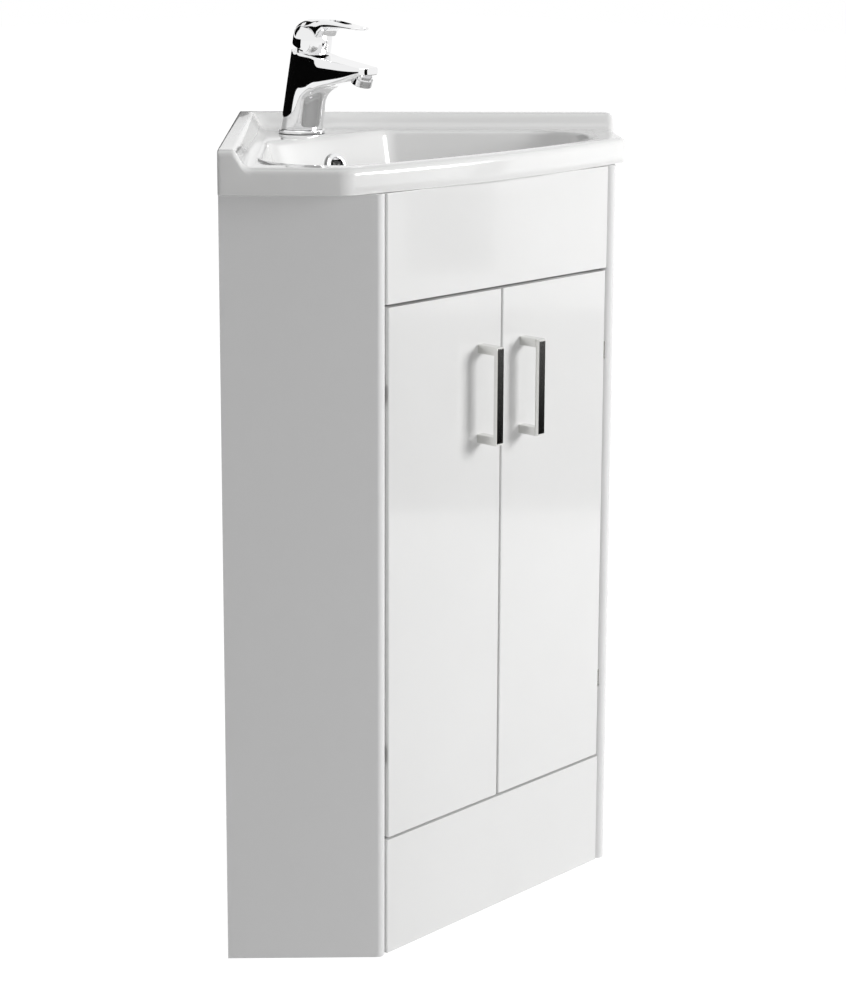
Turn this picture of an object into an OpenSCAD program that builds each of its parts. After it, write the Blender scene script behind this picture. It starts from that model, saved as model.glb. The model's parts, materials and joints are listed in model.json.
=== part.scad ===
// Corner vanity unit: a two-door cabinet for a room corner, a ceramic basin with a
// raised edge along both walls, a lever basin mixer and a click waste.
//
// Frame: X runs across the front (+X to the right as seen from the front), the front
// faces -Y, the wall corner is at +Y, Z is up and the floor is at Z = 0.
// Plan sizes are first thought of as (u, v): u = X, v = distance from the wall corner
// towards the room. In the corner frame the left wall lies along local X and the
// right wall along local Y.

/* [Cabinet] */
// Length of the cabinet along each wall
side_w = 420; // [400:1:440]
// Depth of a side panel from the wall to its rounded front edge
side_d = 164; // [150:1:175]
// Height of the cabinet up to the underside of the basin
cabinet_h = 805; // [780:1:850]
// Thickness of the boards
board_t = 16; // [15:0.5:18]
// Play between boards and fittings that are fixed together
board_play = 0.1; // [0.05:0.05:0.2]
// How far the front faces stand in front of the centre of a panel's rounded edge
front_proud = 6.6; // [5:0.1:7.5]

/* [Fronts] */
// Height of the plinth board
plinth_h = 126; // [110:1:140]
// Height of the fascia board under the basin
fascia_h = 112; // [100:1:125]
// Gap between plinth, doors and fascia
front_gap = 3; // [2:0.5:4]
// Gap between the two doors where they meet
door_meet_gap = 2.4; // [1.5:0.1:3.5]
// Gap between a door and the rounded edge of its panel
door_side_gap = 2.2; // [1.5:0.1:3]
// Gap between a fixed front board and the rounded edge of a panel
fixed_side_gap = 0.3; // [0.1:0.1:1]
// Radius on the upright edges of doors, fascia and plinth
board_edge_r = 1.5; // [0.5:0.5:3]

/* [Frame boards] */
// Height of a back rail
rail_h = 60; // [50:1:80]
// Depth of the stretcher behind the door tops
stretcher_d = 50; // [40:1:60]
// How far the base panel and the stretcher stand behind a closed door's edge line
door_lap = 9; // [8:0.5:12]
// Side of the square post in the wall corner
post_w = 30; // [25:1:35]
// Size of the pipe opening cut off the base panel's wall corner, along each wall
pipe_cut = 120; // [90:5:140]
// Radius of a dowel
dowel_r = 4; // [3:0.5:5]
// Depth of a dowel in a side panel or in the post
dowel_depth = 9; // [7:0.5:11]
// Length of a dowel that stays in the rail, stretcher or base panel
dowel_grip = 18; // [12:1:25]
// Radius of the wall fixing holes in the upper rails
wall_hole_r = 3; // [2:0.5:4]
// Distance of the first wall fixing hole from the wall corner
wall_hole_near = 120; // [90:5:140]
// Distance of the second wall fixing hole from the wall corner
wall_hole_far = 320; // [260:5:350]

/* [Corner brackets] */
// Length of each arm of a corner bracket
bracket_arm = 34; // [28:1:40]
// Thickness of a corner bracket
bracket_t = 8; // [6:0.5:10]
// Height of a corner bracket
bracket_h = 30; // [24:1:40]
// Radius of a wood screw's shank
screw_r = 2; // [1.5:0.25:2.5]
// Radius of a screw's head
screw_head_r = 4; // [3:0.25:5]
// Height of a screw's head
screw_head_h = 2; // [1.5:0.25:3]
// How deep a screw goes into a board
screw_bite = 11; // [8:0.5:12]
// Play of a screw in its hole
screw_play = 0.05; // [0.02:0.01:0.1]

/* [Hinges] */
// Distance of a hinge's centre from the end of the door
hinge_inset = 90; // [70:5:120]
// Radius of the hinge pin
hinge_pin_r = 2; // [1.5:0.25:2.5]
// Running play between the hinge pin and the knuckle
hinge_play = 0.05; // [0.02:0.01:0.09]
// Outer radius of the hinge knuckle
knuckle_r = 4.5; // [3.5:0.25:5]
// Height of the hinge arm and of its knuckle
arm_h = 12; // [10:0.5:16]
// Thickness of the hinge arm
arm_t = 3; // [2:0.25:3.5]
// Thickness of each fixed ear above and below the knuckle
ear_t = 3; // [2:0.25:4]
// Thickness of the hinge plate on the side panel
plate_t = 2; // [1.5:0.25:3]
// Length of the hinge plate along the side panel
plate_l = 34; // [30:1:40]
// Radius of the hinge cup
cup_r = 17.5; // [15:0.5:18]
// Depth of the hinge cup in the door
cup_depth = 11.5; // [10:0.25:12.5]
// Distance of the hinge cup's centre from the door's edge
cup_inset = 22.5; // [21:0.5:26]
// Wall of the hinge cup
cup_wall = 1.6; // [1.2:0.1:2.5]
// Thickness of the flange of the hinge cup
cup_flange_t = 1.2; // [1:0.1:1.6]

/* [Handles] */
// Distance between a handle's two screws
handle_centres = 96; // [64:16:128]
// Height of each leg of a handle
handle_leg = 9; // [7:0.5:11]
// Width of a handle
handle_w = 10; // [8:0.5:14]
// Thickness of a handle's bar
handle_t = 5; // [4:0.5:8]
// How far a handle stands out from the door
handle_out = 28; // [22:1:35]
// Outer corner radius of a handle
handle_r = 2.5; // [1:0.5:4]
// Distance of a handle's centre line from the door's free edge
handle_from_edge = 31.8; // [25:0.1:45]
// Distance of a handle's centre below the top of the door
handle_from_top = 107.5; // [90:0.5:140]
// Thickness of a door bumper
bumper_t = 1.4; // [1:0.1:2]
// Radius of a door bumper
bumper_r = 4; // [3:0.25:4]

/* [Basin] */
// How far the basin stands past a side panel along the wall
basin_side_lap = 10; // [6:1:30]
// Angle by which the basin's short side edges open towards the room
basin_splay = 2.3; // [0:0.1:4]
// How far the middle of the basin's front edge stands in front of the cabinet's front
basin_front_lap = 6.8; // [4:0.2:16]
// Radius of the basin's curved front edge
basin_front_r = 1400; // [1000:50:2500]
// Radius of the basin's front corners in plan
basin_corner_r = 28; // [20:1:40]
// Height of the rim above the cabinet
rim_h = 27; // [22:0.5:32]
// Rounding of the rim's upper edge
rim_r = 8; // [5:0.5:10]
// Width of the solid band under the rim that rests on the cabinet
band_w = 30; // [25:1:34]
// Thickness of the sealant bed between cabinet and basin
bed_t = 0.2; // [0.1:0.1:0.5]
// Thickness of the ceramic deck
deck_t = 12; // [10:0.5:14]
// Height of the raised edges along the walls, above the rim
upstand_h = 18; // [12:0.5:25]
// Width of the top of the raised edges
upstand_w = 16; // [12:0.5:20]
// Rounding of the raised edges' top corners
upstand_r = 5; // [2:0.5:7]
// Radius of the hollow curve between raised edge and deck
cove_r = 12; // [8:0.5:16]

/* [Bowl] */
// Distance of the bowl's side edges from the walls
bowl_side = 41; // [38:1:48]
// Distance of the bowl's back edge from the wall corner
bowl_back_v = 150; // [142:1:165]
// Width of the front rim between the bowl and the basin's front edge
front_rim_w = 27; // [22:1:35]
// Radius of the bowl's pointed side corners
bowl_corner_r = 70; // [64:1:85]
// Radius of the bowl's back corners
bowl_back_r = 22; // [12:1:35]
// Depth of the bowl below the rim
bowl_depth = 110; // [90:1:125]
// Thickness of the bowl's wall
bowl_wall = 11; // [8:0.5:13]
// Distance of the waste from the wall corner
waste_v = 268; // [255:1:285]
// Height of the overflow's centre below the rim
overflow_drop = 34; // [28:1:42]
// Radius of the overflow hole in the ceramic
overflow_r = 11.5; // [8:0.5:13]
// Radius of the overflow duct behind the bowl
duct_r = 6; // [4:0.5:7]

/* [Overflow ring] */
// Outer radius of the overflow ring
ring_r = 15.2; // [13.5:0.1:18]
// Radius of the opening in the overflow ring
ring_hole_r = 10; // [7:0.1:11]
// How far the overflow ring stands out of the bowl's wall
ring_t = 2.4; // [1.5:0.1:4]

/* [Waste] */
// Radius of the waste's threaded tail
waste_tail_r = 20.95; // [18:0.05:22]
// Wall of the waste's tail
waste_wall = 3; // [2:0.25:4]
// Radius of the waste's flange
waste_flange_r = 31.5; // [28:0.5:35]
// Thickness of the waste's flange
waste_flange_t = 3; // [2:0.25:4]
// Length of the tail below the ceramic boss
waste_tail = 60; // [50:1:75]
// Radius of the hole in the ceramic for the waste
waste_hole_r = 23; // [22.5:0.25:24]
// Height of the ceramic boss around the waste hole, below the bowl's floor
waste_boss_h = 22; // [18:0.5:28]
// Radius of the click plug
plug_r = 28; // [24:0.5:29]
// Radius of the click plug's stem
plug_stem_r = 3; // [2.5:0.25:4]
// Running play of the click plug's stem
plug_play = 0.05; // [0.02:0.01:0.09]

/* [Mixer] */
// Distance of the mixer's centre from the wall corner
tap_v = 104; // [100:0.5:108]
// Radius of the hole in the deck for the mixer
tap_hole_r = 17.5; // [16:0.5:19]
// Radius of the mixer's foot ring
foot_r = 26.7; // [25:0.1:30]
// Height of the mixer's foot ring
foot_h = 4; // [3:0.25:6]
// Forward lean of the mixer's body
lean = 10; // [6:0.5:14]
// Radius of the body at its foot
body_foot_r = 24; // [22:0.25:25]
// Radius of the body at its top
body_top_r = 22; // [21:0.25:24]
// Length along the leaning axis from the deck to the lever's pivot
pivot_l = 107; // [100:1:118]
// Length of the spout from the pivot to its tip
spout_l = 88.5; // [80:0.5:105]
// Height of the spout's upper edge at the tip above the deck
spout_tip_h = 78; // [74:0.5:86]
// Thickness of the spout at its tip
spout_tip_t = 8; // [7:0.5:12]
// Width of the spout at its tip
spout_w = 29; // [26:0.5:32]
// Radius of the hollow curve between the spout's underside and the body
neck_r = 14; // [10:0.5:20]
// Radius of the aerator
aerator_r = 11.5; // [9.5:0.25:12.5]
// Height of the aerator below the spout
aerator_h = 8.5; // [7:0.25:10]
// Angle by which the water leaves towards the room
aerator_tilt = 20; // [12:1:24]
// Radius of the cartridge
cartridge_r = 17.4; // [16.5:0.1:17.6]
// Radius of the cartridge's stem
stem_r = 7; // [5.5:0.25:7.5]
// Running play of the stem and of the lever's pin
stem_play = 0.05; // [0.02:0.01:0.09]
// Radius of the lever's pin
lever_pin_r = 2; // [1.5:0.1:2.5]
// Outer radius of the lever's round hub
hub_r = 22; // [21.5:0.25:24]
// Wall of the lever's hub
hub_wall = 1.8; // [1.5:0.1:2]
// Distance of the lever's tip in front of the pivot
lever_l = 83; // [70:1:95]
// Width of the lever at its tip
lever_w = 24; // [20:0.5:28]
// Thickness of the lever's blade
lever_t = 4; // [3:0.25:5]
// Length of the finger opening in the lever
loop_l = 31; // [20:0.5:36]
// Width of the finger opening in the lever
loop_w = 11; // [8:0.5:13]
// Radius of the indicator cap
indicator_r = 3.2; // [2.5:0.1:4]
// Radius of the mixer's fixing stud
stud_r = 4; // [3:0.25:5]
// Radius of the threaded holes for the supply tails
inlet_r = 4.5; // [4:0.25:5]
// Distance between the two supply tails
inlet_gap = 18; // [16:0.5:20]

/* [Hidden] */
root2 = sqrt(2);
nose_r = board_t / 2;
hinge_u = (side_w - side_d) / root2;
hinge_v = (side_w + side_d - 2 * nose_r) / root2;
face_v = hinge_v + front_proud;
basin_w = side_w + basin_side_lap;
basin_v = face_v + basin_front_lap;
corner_y = max(face_v + handle_out, basin_v) / 2;

plinth_top = plinth_h;
door_z0 = plinth_h + front_gap;
fascia_z0 = cabinet_h - fascia_h;
door_z1 = fascia_z0 - front_gap;
door_edge = nose_r + door_side_gap;
fixed_edge = nose_r + fixed_side_gap;
back_y = board_t - front_proud;
back_v = face_v - board_t;
inner_b = side_w - board_t;

// The base panel and the stretcher stop the doors, with the bumpers between
stop_gap = bumper_t + 0.1;
stop_v = back_v - stop_gap;
base_top = door_z0 + door_lap;
base_z0 = base_top - board_t;
stretcher_z0 = door_z1 - door_lap - 4;
lower_rail_z0 = base_z0 - board_play - rail_h;
bracket_u0 = nose_r * root2 - back_y;
fascia_bracket_z = fascia_z0 + 0.5 * fascia_h;
plinth_bracket_z = 0.45 * (base_z0 - board_play);

hinge_zs = [door_z0 + hinge_inset, door_z1 - hinge_inset];
notch_play = 0.5;
ear_gap = 0.3;
notch_h = arm_h + 2 * (ear_t + ear_gap + notch_play);
open_angle = 105;
neck_angle = 85;
cup_x = door_edge + cup_inset;
arm_y0 = back_y + cup_flange_t;
arm_end_x = cup_x + 9;
cup_screw_z = cup_r + 7;
plate_y0 = knuckle_r + 9.5;

handle_x = door_meet_gap / 2 + handle_from_edge;
handle_z = door_z1 - handle_from_top;
handle_len = handle_centres + handle_leg;
handle_screw_r = 2;
handle_screw_in = 12;

deck_z = cabinet_h + rim_h;
top_z = deck_z + upstand_h;
front_arc_v = basin_v - basin_front_r;
floor_z = deck_z - bowl_depth;
boss_z0 = floor_z - waste_boss_h;
bowl_lean = 16;
overflow_z = deck_z - overflow_drop;
overflow_v = bowl_back_v + overflow_drop * tan(bowl_lean);
duct_a = [bowl_back_v - 10, overflow_z + 3];
duct_b = [bowl_back_v + 8, floor_z - 10];
duct_wall = 5;
duct_c = [waste_v - 32, boss_z0 + duct_r + duct_wall + 0.5];

seal_t = 1;
plug_seat = floor_z + seal_t + waste_flange_t + 0.3;
plug_t = 5;
guide_z = boss_z0 - 4;
nut_h = 8;
washer_t = 3;
nut_z0 = boss_z0 - washer_t - nut_h;
tail_z0 = boss_z0 - waste_tail;
// A groove parts the nut's thread from the one that takes the trap
groove_w = 1.5;
groove_d = 0.6;
groove_z0 = nut_z0 - groove_w - 0.5;

foot_z = deck_z + 0.8;
body_z0 = foot_z + foot_h;
pivot_v = tap_v + pivot_l * sin(lean);
pivot_z = deck_z + pivot_l * cos(lean);
body_top_w = -13.5;
collar_top_w = -6;
collar_r = 16;
hub_front_w = -12;
hub_rear_w = -6;
cartridge_l = 27;
cartridge_top_w = -17;
cartridge_floor = 6;
tip_v = pivot_v + spout_l;
tip_z = deck_z + spout_tip_h;
tip_r = 1.5;
// The flat under the spout's tip that the aerator is screwed into, in (v, z)
nozzle_dir = [cos(aerator_tilt), sin(aerator_tilt)];
nose = [tip_v - tip_r, tip_z - spout_tip_t + tip_r]
    + tip_r * [sin(aerator_tilt), -cos(aerator_tilt)];
nozzle = nose - (aerator_r - 2.7) * nozzle_dir;
nozzle_back = nose - (2 * aerator_r - 1.2) * nozzle_dir;
neck = [tap_v + 29 + neck_r, deck_z + 54 - neck_r];  // centre of the hollow curve under the spout
pin_half = 11;
clamp_z = deck_z - deck_t;
curve_fn = 64;

// ---- frames and small helpers

// Local X runs along the left wall and local Y along the right wall, from their corner
module corner_frame() {
    translate([0, corner_y, 0]) rotate(-135) children();
}

// The hinge axis of the left door: local X points inwards, local Y to the wall corner
module left_hinge_frame(z = 0) {
    translate([-hinge_u, corner_y - hinge_v, z]) children();
}

module right_side() {
    mirror([1, 0, 0]) children();
}

module both_sides() {
    children();
    right_side() children();
}

// Puts (u, v) plan points at their place
module plan() {
    translate([0, corner_y, 0]) mirror([0, 1, 0]) children();
}

// A frame in the mixer's middle plane: local X is v, local Y is up, local Z is across
module middle_plane(across = 0) {
    translate([0, corner_y, 0]) rotate([90, 0, -90]) translate([0, 0, -across / 2]) children();
}

// The mixer's leaning axis: origin at the lever's pivot, local Z along the axis,
// local Y to the front
module lean_frame() {
    translate([0, corner_y - pivot_v, pivot_z]) rotate([lean, 0, 0]) mirror([0, 1, 0]) children();
}

module screw(length) {
    translate([0, 0, -length]) cylinder(r = screw_r, h = length + 0.01, $fn = curve_fn);
    cylinder(r = screw_head_r, h = screw_head_h, $fn = curve_fn);
}

module screw_hole(length) {
    translate([0, 0, -length]) cylinder(r = screw_r + screw_play, h = length + 1, $fn = curve_fn);
}

function arc(centre, r, from, to, steps) =
    [for (i = [0 : steps]) let (t = from + (to - from) * i / steps)
        centre + r * [cos(t), sin(t)]];

function mirrored(points) = [for (i = [len(points) - 1 : -1 : 0]) [-points[i][0], points[i][1]]];

// ---- cabinet boards

module side_panel_plan() {
    translate([inner_b, 0]) square([board_t, side_d - nose_r]);
    translate([side_w - nose_r, side_d - nose_r]) circle(r = nose_r, $fn = curve_fn);
}

// Room for a hinge in the panel's rounded edge, on the inner side only
module hinge_notch() {
    reach = nose_r * root2 + 3;
    side = arm_t / 2 + notch_play + 0.2;  // beside the neck, and clear of the ears
    slope = tan(open_angle - neck_angle);
    for (z = hinge_zs) left_hinge_frame(z - notch_h / 2) {
        cylinder(r = knuckle_r + notch_play, h = notch_h, $fn = curve_fn);
        linear_extrude(notch_h)
            polygon([[-side, reach], [reach, reach], [reach, -side - slope * reach],
                     [0, -side], [-side, -side]]);
    }
}

module left_panel_solid() {
    difference() {
        corner_frame() linear_extrude(cabinet_h) side_panel_plan();
        hinge_notch();
        dowel_pins(board_play / 2);
        plate_screw_places() screw_hole(screw_bite + plate_t);
        bracket_places() bracket_screw_places() screw_hole(bracket_t + screw_bite);
    }
}

module left_side_panel() { color("white") left_panel_solid(); }
module right_side_panel() { color("white") right_side() left_panel_solid(); }

// A flat front board between two heights, with rounded upright edges
module front_board(x0, x1, z0, z1) {
    translate([0, corner_y - face_v, z0]) linear_extrude(z1 - z0)
        polygon(concat(
            arc([x1 - board_edge_r, board_edge_r], board_edge_r, -90, 0, 6),
            [[x1, board_t], [x0, board_t]],
            arc([x0 + board_edge_r, board_edge_r], board_edge_r, 180, 270, 6)));
}

module plinth() {
    half = hinge_u - fixed_edge;
    color("whitesmoke") difference() {
        front_board(-half, half, 0, plinth_top);
        both_sides() bracket_places() bracket_screw_places() screw_hole(bracket_t + screw_bite);
    }
}

module fascia() {
    half = hinge_u - fixed_edge;
    color("white") difference() {
        front_board(-half, half, fascia_z0, cabinet_h);
        both_sides() bracket_places() bracket_screw_places() screw_hole(bracket_t + screw_bite);
    }
}

// A board lying between the side panels, from v0 to the doors' inner faces
module lying_board(z0, v0) {
    reach = inner_b - board_play;
    half0 = root2 * reach - v0;
    half1 = root2 * reach - stop_v;
    plan() translate([0, 0, z0]) linear_extrude(board_t)
        polygon([[-half1, stop_v], [-half0, v0], [half0, v0], [half1, stop_v]]);
}

module stretcher() {
    color("white") difference() {
        lying_board(stretcher_z0, stop_v - stretcher_d);
        both_sides() dowel_pins(board_play / 2);
    }
}

module base_panel() {
    reach = inner_b - board_play;
    front = root2 * stop_v - reach;
    color("white") difference() {
        corner_frame() translate([0, 0, base_z0]) linear_extrude(board_t)
            polygon([[reach, 0], [reach, front], [front, reach], [0, reach],
                     [0, pipe_cut], [pipe_cut, 0]]);
        both_sides() dowel_pins(board_play / 2);
    }
}

module left_rail(z0) {
    corner_frame() translate([post_w + board_play, 0, z0])
        cube([inner_b - post_w - 2 * board_play, board_t, rail_h]);
}

module left_upper_rail_solid() {
    difference() {
        left_rail(cabinet_h - rail_h);
        dowel_pins(board_play / 2);
        corner_frame() for (b = [wall_hole_near, wall_hole_far])
            translate([b, -1, cabinet_h - rail_h / 2]) rotate([-90, 0, 0])
                cylinder(r = wall_hole_r, h = board_t + 2, $fn = curve_fn);
    }
}

module left_lower_rail_solid() {
    difference() {
        left_rail(lower_rail_z0);
        dowel_pins(board_play / 2);
    }
}

module left_upper_rail() { color("white") left_upper_rail_solid(); }
module right_upper_rail() { color("white") right_side() left_upper_rail_solid(); }
module left_lower_rail() { color("white") left_lower_rail_solid(); }
module right_lower_rail() { color("white") right_side() left_lower_rail_solid(); }

module corner_post() {
    color("white") difference() {
        corner_frame() cube([post_w, post_w, cabinet_h]);
        both_sides() dowel_pins(board_play / 2);
    }
}

// The left side's dowels, all along the left wall's direction
module dowel_pins(play = 0) {
    rail_a = board_t / 2;
    rail_zs = [cabinet_h - rail_h * 0.25, cabinet_h - rail_h * 0.75,
               lower_rail_z0 + rail_h * 0.25, lower_rail_z0 + rail_h * 0.75];
    stretcher_a = root2 * stop_v - inner_b;
    panel_places = concat(
        [for (z = rail_zs) [rail_a, z]],
        [for (a = [0.25, 0.7]) [a * side_d, base_z0 + board_t / 2]],
        [for (back = [18, 50]) [stretcher_a - back, stretcher_z0 + board_t / 2]]);
    corner_frame() {
        for (p = panel_places)
            translate([inner_b - dowel_grip, p[0], p[1]]) rotate([0, 90, 0])
                translate([0, 0, -play]) cylinder(r = dowel_r + play,
                    h = dowel_grip + dowel_depth + 2 * play, $fn = curve_fn);
        for (z = rail_zs)
            translate([post_w - dowel_depth, rail_a, z]) rotate([0, 90, 0])
                translate([0, 0, -play]) cylinder(r = dowel_r + play,
                    h = dowel_grip + dowel_depth + 2 * play, $fn = curve_fn);
    }
}

module dowels() { color("burlywood") both_sides() dowel_pins(); }

// ---- corner brackets behind fascia and plinth

module bracket_places() {
    left_hinge_frame() translate([bracket_u0, back_y, 0]) {
        translate([0, 0, fascia_bracket_z]) children();
        translate([0, 0, plinth_bracket_z]) children();
    }
}

// The two screws of a bracket, one into the front board and one into the side panel
module bracket_screw_places() {
    along = bracket_arm * 0.72;
    translate([along, bracket_t + board_play, 0]) rotate([-90, 0, 0]) children();
    rotate(45) translate([bracket_t + board_play, along, 0]) rotate([0, 90, 0]) children();
}

module bracket_solid() {
    turn = 45;
    p = board_play;
    inner = (bracket_t + p) / sin(67.5) * [cos(67.5), sin(67.5)];
    heel = p / sin(67.5) * [cos(67.5), sin(67.5)];
    out = [cos(135), sin(135)];
    side = [cos(turn), sin(turn)];
    difference() {
        translate([0, 0, -bracket_h / 2]) linear_extrude(bracket_h)
            polygon([heel, [bracket_arm, p], [bracket_arm, bracket_t + p], inner,
                     bracket_arm * out + (bracket_t + p) * side, bracket_arm * out + p * side]);
        bracket_screw_places() screw_hole(bracket_t + screw_bite);
    }
}

module left_bracket(z) {
    left_hinge_frame() translate([bracket_u0, back_y, z]) bracket_solid();
}

module left_fascia_bracket() { color("gainsboro") left_bracket(fascia_bracket_z); }
module right_fascia_bracket() { color("gainsboro") right_side() left_bracket(fascia_bracket_z); }
module left_plinth_bracket() { color("gainsboro") left_bracket(plinth_bracket_z); }
module right_plinth_bracket() { color("gainsboro") right_side() left_bracket(plinth_bracket_z); }

module bracket_screws() {
    color("silver") both_sides() bracket_places() bracket_screw_places()
        screw(bracket_t + screw_bite);
}

// ---- doors and handles

module left_door_solid() {
    x0 = -hinge_u + door_edge;
    x1 = -door_meet_gap / 2;
    difference() {
        front_board(x0, x1, door_z0, door_z1);
        for (z = hinge_zs) left_hinge_frame(z) {
            translate([cup_x, back_y + 1, 0]) rotate([90, 0, 0])
                cylinder(r = cup_r + board_play, h = cup_depth + board_play + 1, $fn = curve_fn);
            cup_screw_places() screw_hole(screw_bite);
        }
        handle_screw_places()
            translate([0, 0, -board_t - 1])
                cylinder(r = handle_screw_r + 0.2, h = board_t + 2, $fn = curve_fn);
    }
}

module left_door() { color("white") left_door_solid(); }
module right_door() { color("white") right_side() left_door_solid(); }

// Origin on the door's inner face, local Z pointing into the cabinet
module handle_screw_places() {
    for (s = [-1, 1])
        translate([-handle_x, corner_y - back_v, handle_z + s * handle_centres / 2])
            rotate([-90, 0, 0]) children();
}

module left_handle_solid() {
    r = handle_r;
    h = handle_len / 2;
    x = handle_out;
    hole = h - handle_leg;
    difference() {
        translate([-handle_x - handle_w / 2, corner_y - face_v, handle_z]) rotate([90, 0, 90])
            linear_extrude(handle_w)
                polygon(concat([[0, h], [0, hole], [-x + handle_t, hole],
                                [-x + handle_t, -hole], [0, -hole], [0, -h]],
                    arc([-x + r, -h + r], r, 270, 180, 6), arc([-x + r, h - r], r, 180, 90, 6)));
        handle_screw_places() translate([0, 0, -board_t - handle_screw_in])
            cylinder(r = handle_screw_r + 0.02, h = handle_screw_in + 1, $fn = curve_fn);
    }
}

module left_handle() { color("silver") left_handle_solid(); }
module right_handle() { color("silver") right_side() left_handle_solid(); }

module left_handle_screw_solids() {
    handle_screw_places() {
        translate([0, 0, 1 - board_t - handle_screw_in])
            cylinder(r = handle_screw_r, h = board_t + handle_screw_in - 1, $fn = curve_fn);
        cylinder(r = screw_head_r, h = screw_head_h, $fn = curve_fn);
    }
}

module left_handle_screws() { color("gray") left_handle_screw_solids(); }
module right_handle_screws() { color("gray") right_side() left_handle_screw_solids(); }

module left_bumper_solids() {
    for (z = [(door_z0 + base_top) / 2, (stretcher_z0 + board_t / 2 + door_z1) / 2 - 1])
        translate([-door_meet_gap / 2 - 22, corner_y - back_v, z]) rotate([-90, 0, 0])
            cylinder(r = bumper_r, h = bumper_t, $fn = curve_fn);
}

module left_bumpers() { color("dimgray") left_bumper_solids(); }
module right_bumpers() { color("dimgray") right_side() left_bumper_solids(); }

// ---- hinges

module plate_screw_places() {
    for (z = hinge_zs) left_hinge_frame(z) rotate(45)
        for (t = [0.3, 0.75])
            translate([nose_r + board_play + plate_t, plate_y0 + t * plate_l, 0])
                rotate([0, 90, 0]) children();
}

// Fixed plate with two ears that hold the pin, on the side panel's inner face
module hinge_plate() {
    ear_z = arm_h / 2 + ear_gap;
    x0 = nose_r + board_play;
    x1 = x0 + plate_t;
    ear_back = arm_t / 2 + notch_play;
    rotate(45) difference() {
        union() {
            translate([x0, plate_y0, -ear_z - ear_t])
                cube([plate_t, plate_l, 2 * (ear_z + ear_t)]);
            for (z = [ear_z, -ear_z - ear_t]) translate([0, 0, z]) {
                cylinder(r = knuckle_r, h = ear_t, $fn = curve_fn);
                linear_extrude(ear_t)
                    polygon([[0, 0.5], [x1, 0.5], [x1, plate_y0 + 1], [x0, plate_y0 + 1],
                             [x0, x0 + ear_back], [0, ear_back]]);
            }
        }
        translate([0, 0, -ear_z - ear_t - 1])
            cylinder(r = hinge_pin_r + 0.01, h = 2 * (ear_z + ear_t + 1), $fn = curve_fn);
        for (t = [0.3, 0.75]) translate([x0 - 1, plate_y0 + t * plate_l, 0]) rotate([0, 90, 0])
            cylinder(r = screw_r + screw_play, h = plate_t + 2, $fn = curve_fn);
    }
}

module hinge_pin() {
    half = arm_h / 2 + ear_gap + ear_t;
    translate([0, 0, -half]) cylinder(r = hinge_pin_r, h = 2 * half, $fn = curve_fn);
}

// Arm that turns with the door: a knuckle, a neck round the door's edge and a flat strip
module hinge_arm() {
    foot = arm_t / 2;
    lead = tan(90 - neck_angle) * arm_y0;
    translate([0, 0, -arm_h / 2]) difference() {
        union() {
            cylinder(r = knuckle_r, h = arm_h, $fn = curve_fn);
            linear_extrude(arm_h)
                polygon([[-foot, 0], [foot, 0], [foot + lead, arm_y0], [arm_end_x, arm_y0],
                         [arm_end_x, arm_y0 + arm_t], [lead - foot, arm_y0 + arm_t]]);
        }
        translate([0, 0, -1])
            cylinder(r = hinge_pin_r + hinge_play, h = arm_h + 2, $fn = curve_fn);
        translate([cup_x, 0, arm_h / 2]) rotate([-90, 0, 0])
            cylinder(r = screw_r + screw_play, h = arm_y0 + arm_t + 1, $fn = curve_fn);
    }
}

module cup_screw_places() {
    for (s = [-1, 1]) translate([cup_x, arm_y0, s * cup_screw_z]) rotate([-90, 0, 0]) children();
}

// Cup let into the door's inner face, with a flange and a block that carries the arm
module hinge_cup() {
    block = 9;
    difference() {
        union() {
            translate([cup_x, back_y, 0]) rotate([90, 0, 0])
                cylinder(r = cup_r, h = cup_depth, $fn = curve_fn);
            translate([cup_x, arm_y0, 0]) rotate([90, 0, 0])
                cylinder(r = cup_r + 2, h = cup_flange_t, $fn = curve_fn);
            translate([cup_x - 6, back_y, -cup_screw_z - 5])
                cube([12, cup_flange_t, 2 * cup_screw_z + 10]);
        }
        difference() {
            translate([cup_x, arm_y0 + 1, 0]) rotate([90, 0, 0])
                cylinder(r = cup_r - cup_wall, h = cup_depth + cup_flange_t + 1 - cup_wall,
                         $fn = curve_fn);
            translate([cup_x - block / 2, back_y - cup_depth, -arm_h / 2])
                cube([block, cup_depth + cup_flange_t, arm_h]);
        }
        translate([cup_x, arm_y0 - 7, 0]) rotate([-90, 0, 0])
            cylinder(r = screw_r + screw_play, h = 9, $fn = curve_fn);
        cup_screw_places() translate([0, 0, -cup_flange_t - 1])
            cylinder(r = screw_r + screw_play, h = cup_flange_t + 2, $fn = curve_fn);
    }
}

module left_plates() { for (z = hinge_zs) left_hinge_frame(z) hinge_plate(); }
module left_pins() { for (z = hinge_zs) left_hinge_frame(z) hinge_pin(); }

module left_screws() {
    for (z = hinge_zs) left_hinge_frame(z) {
        cup_screw_places() screw(screw_bite - 1);
        translate([cup_x, arm_y0 + arm_t, 0]) rotate([-90, 0, 0]) screw(arm_t + 6);
    }
}

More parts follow.
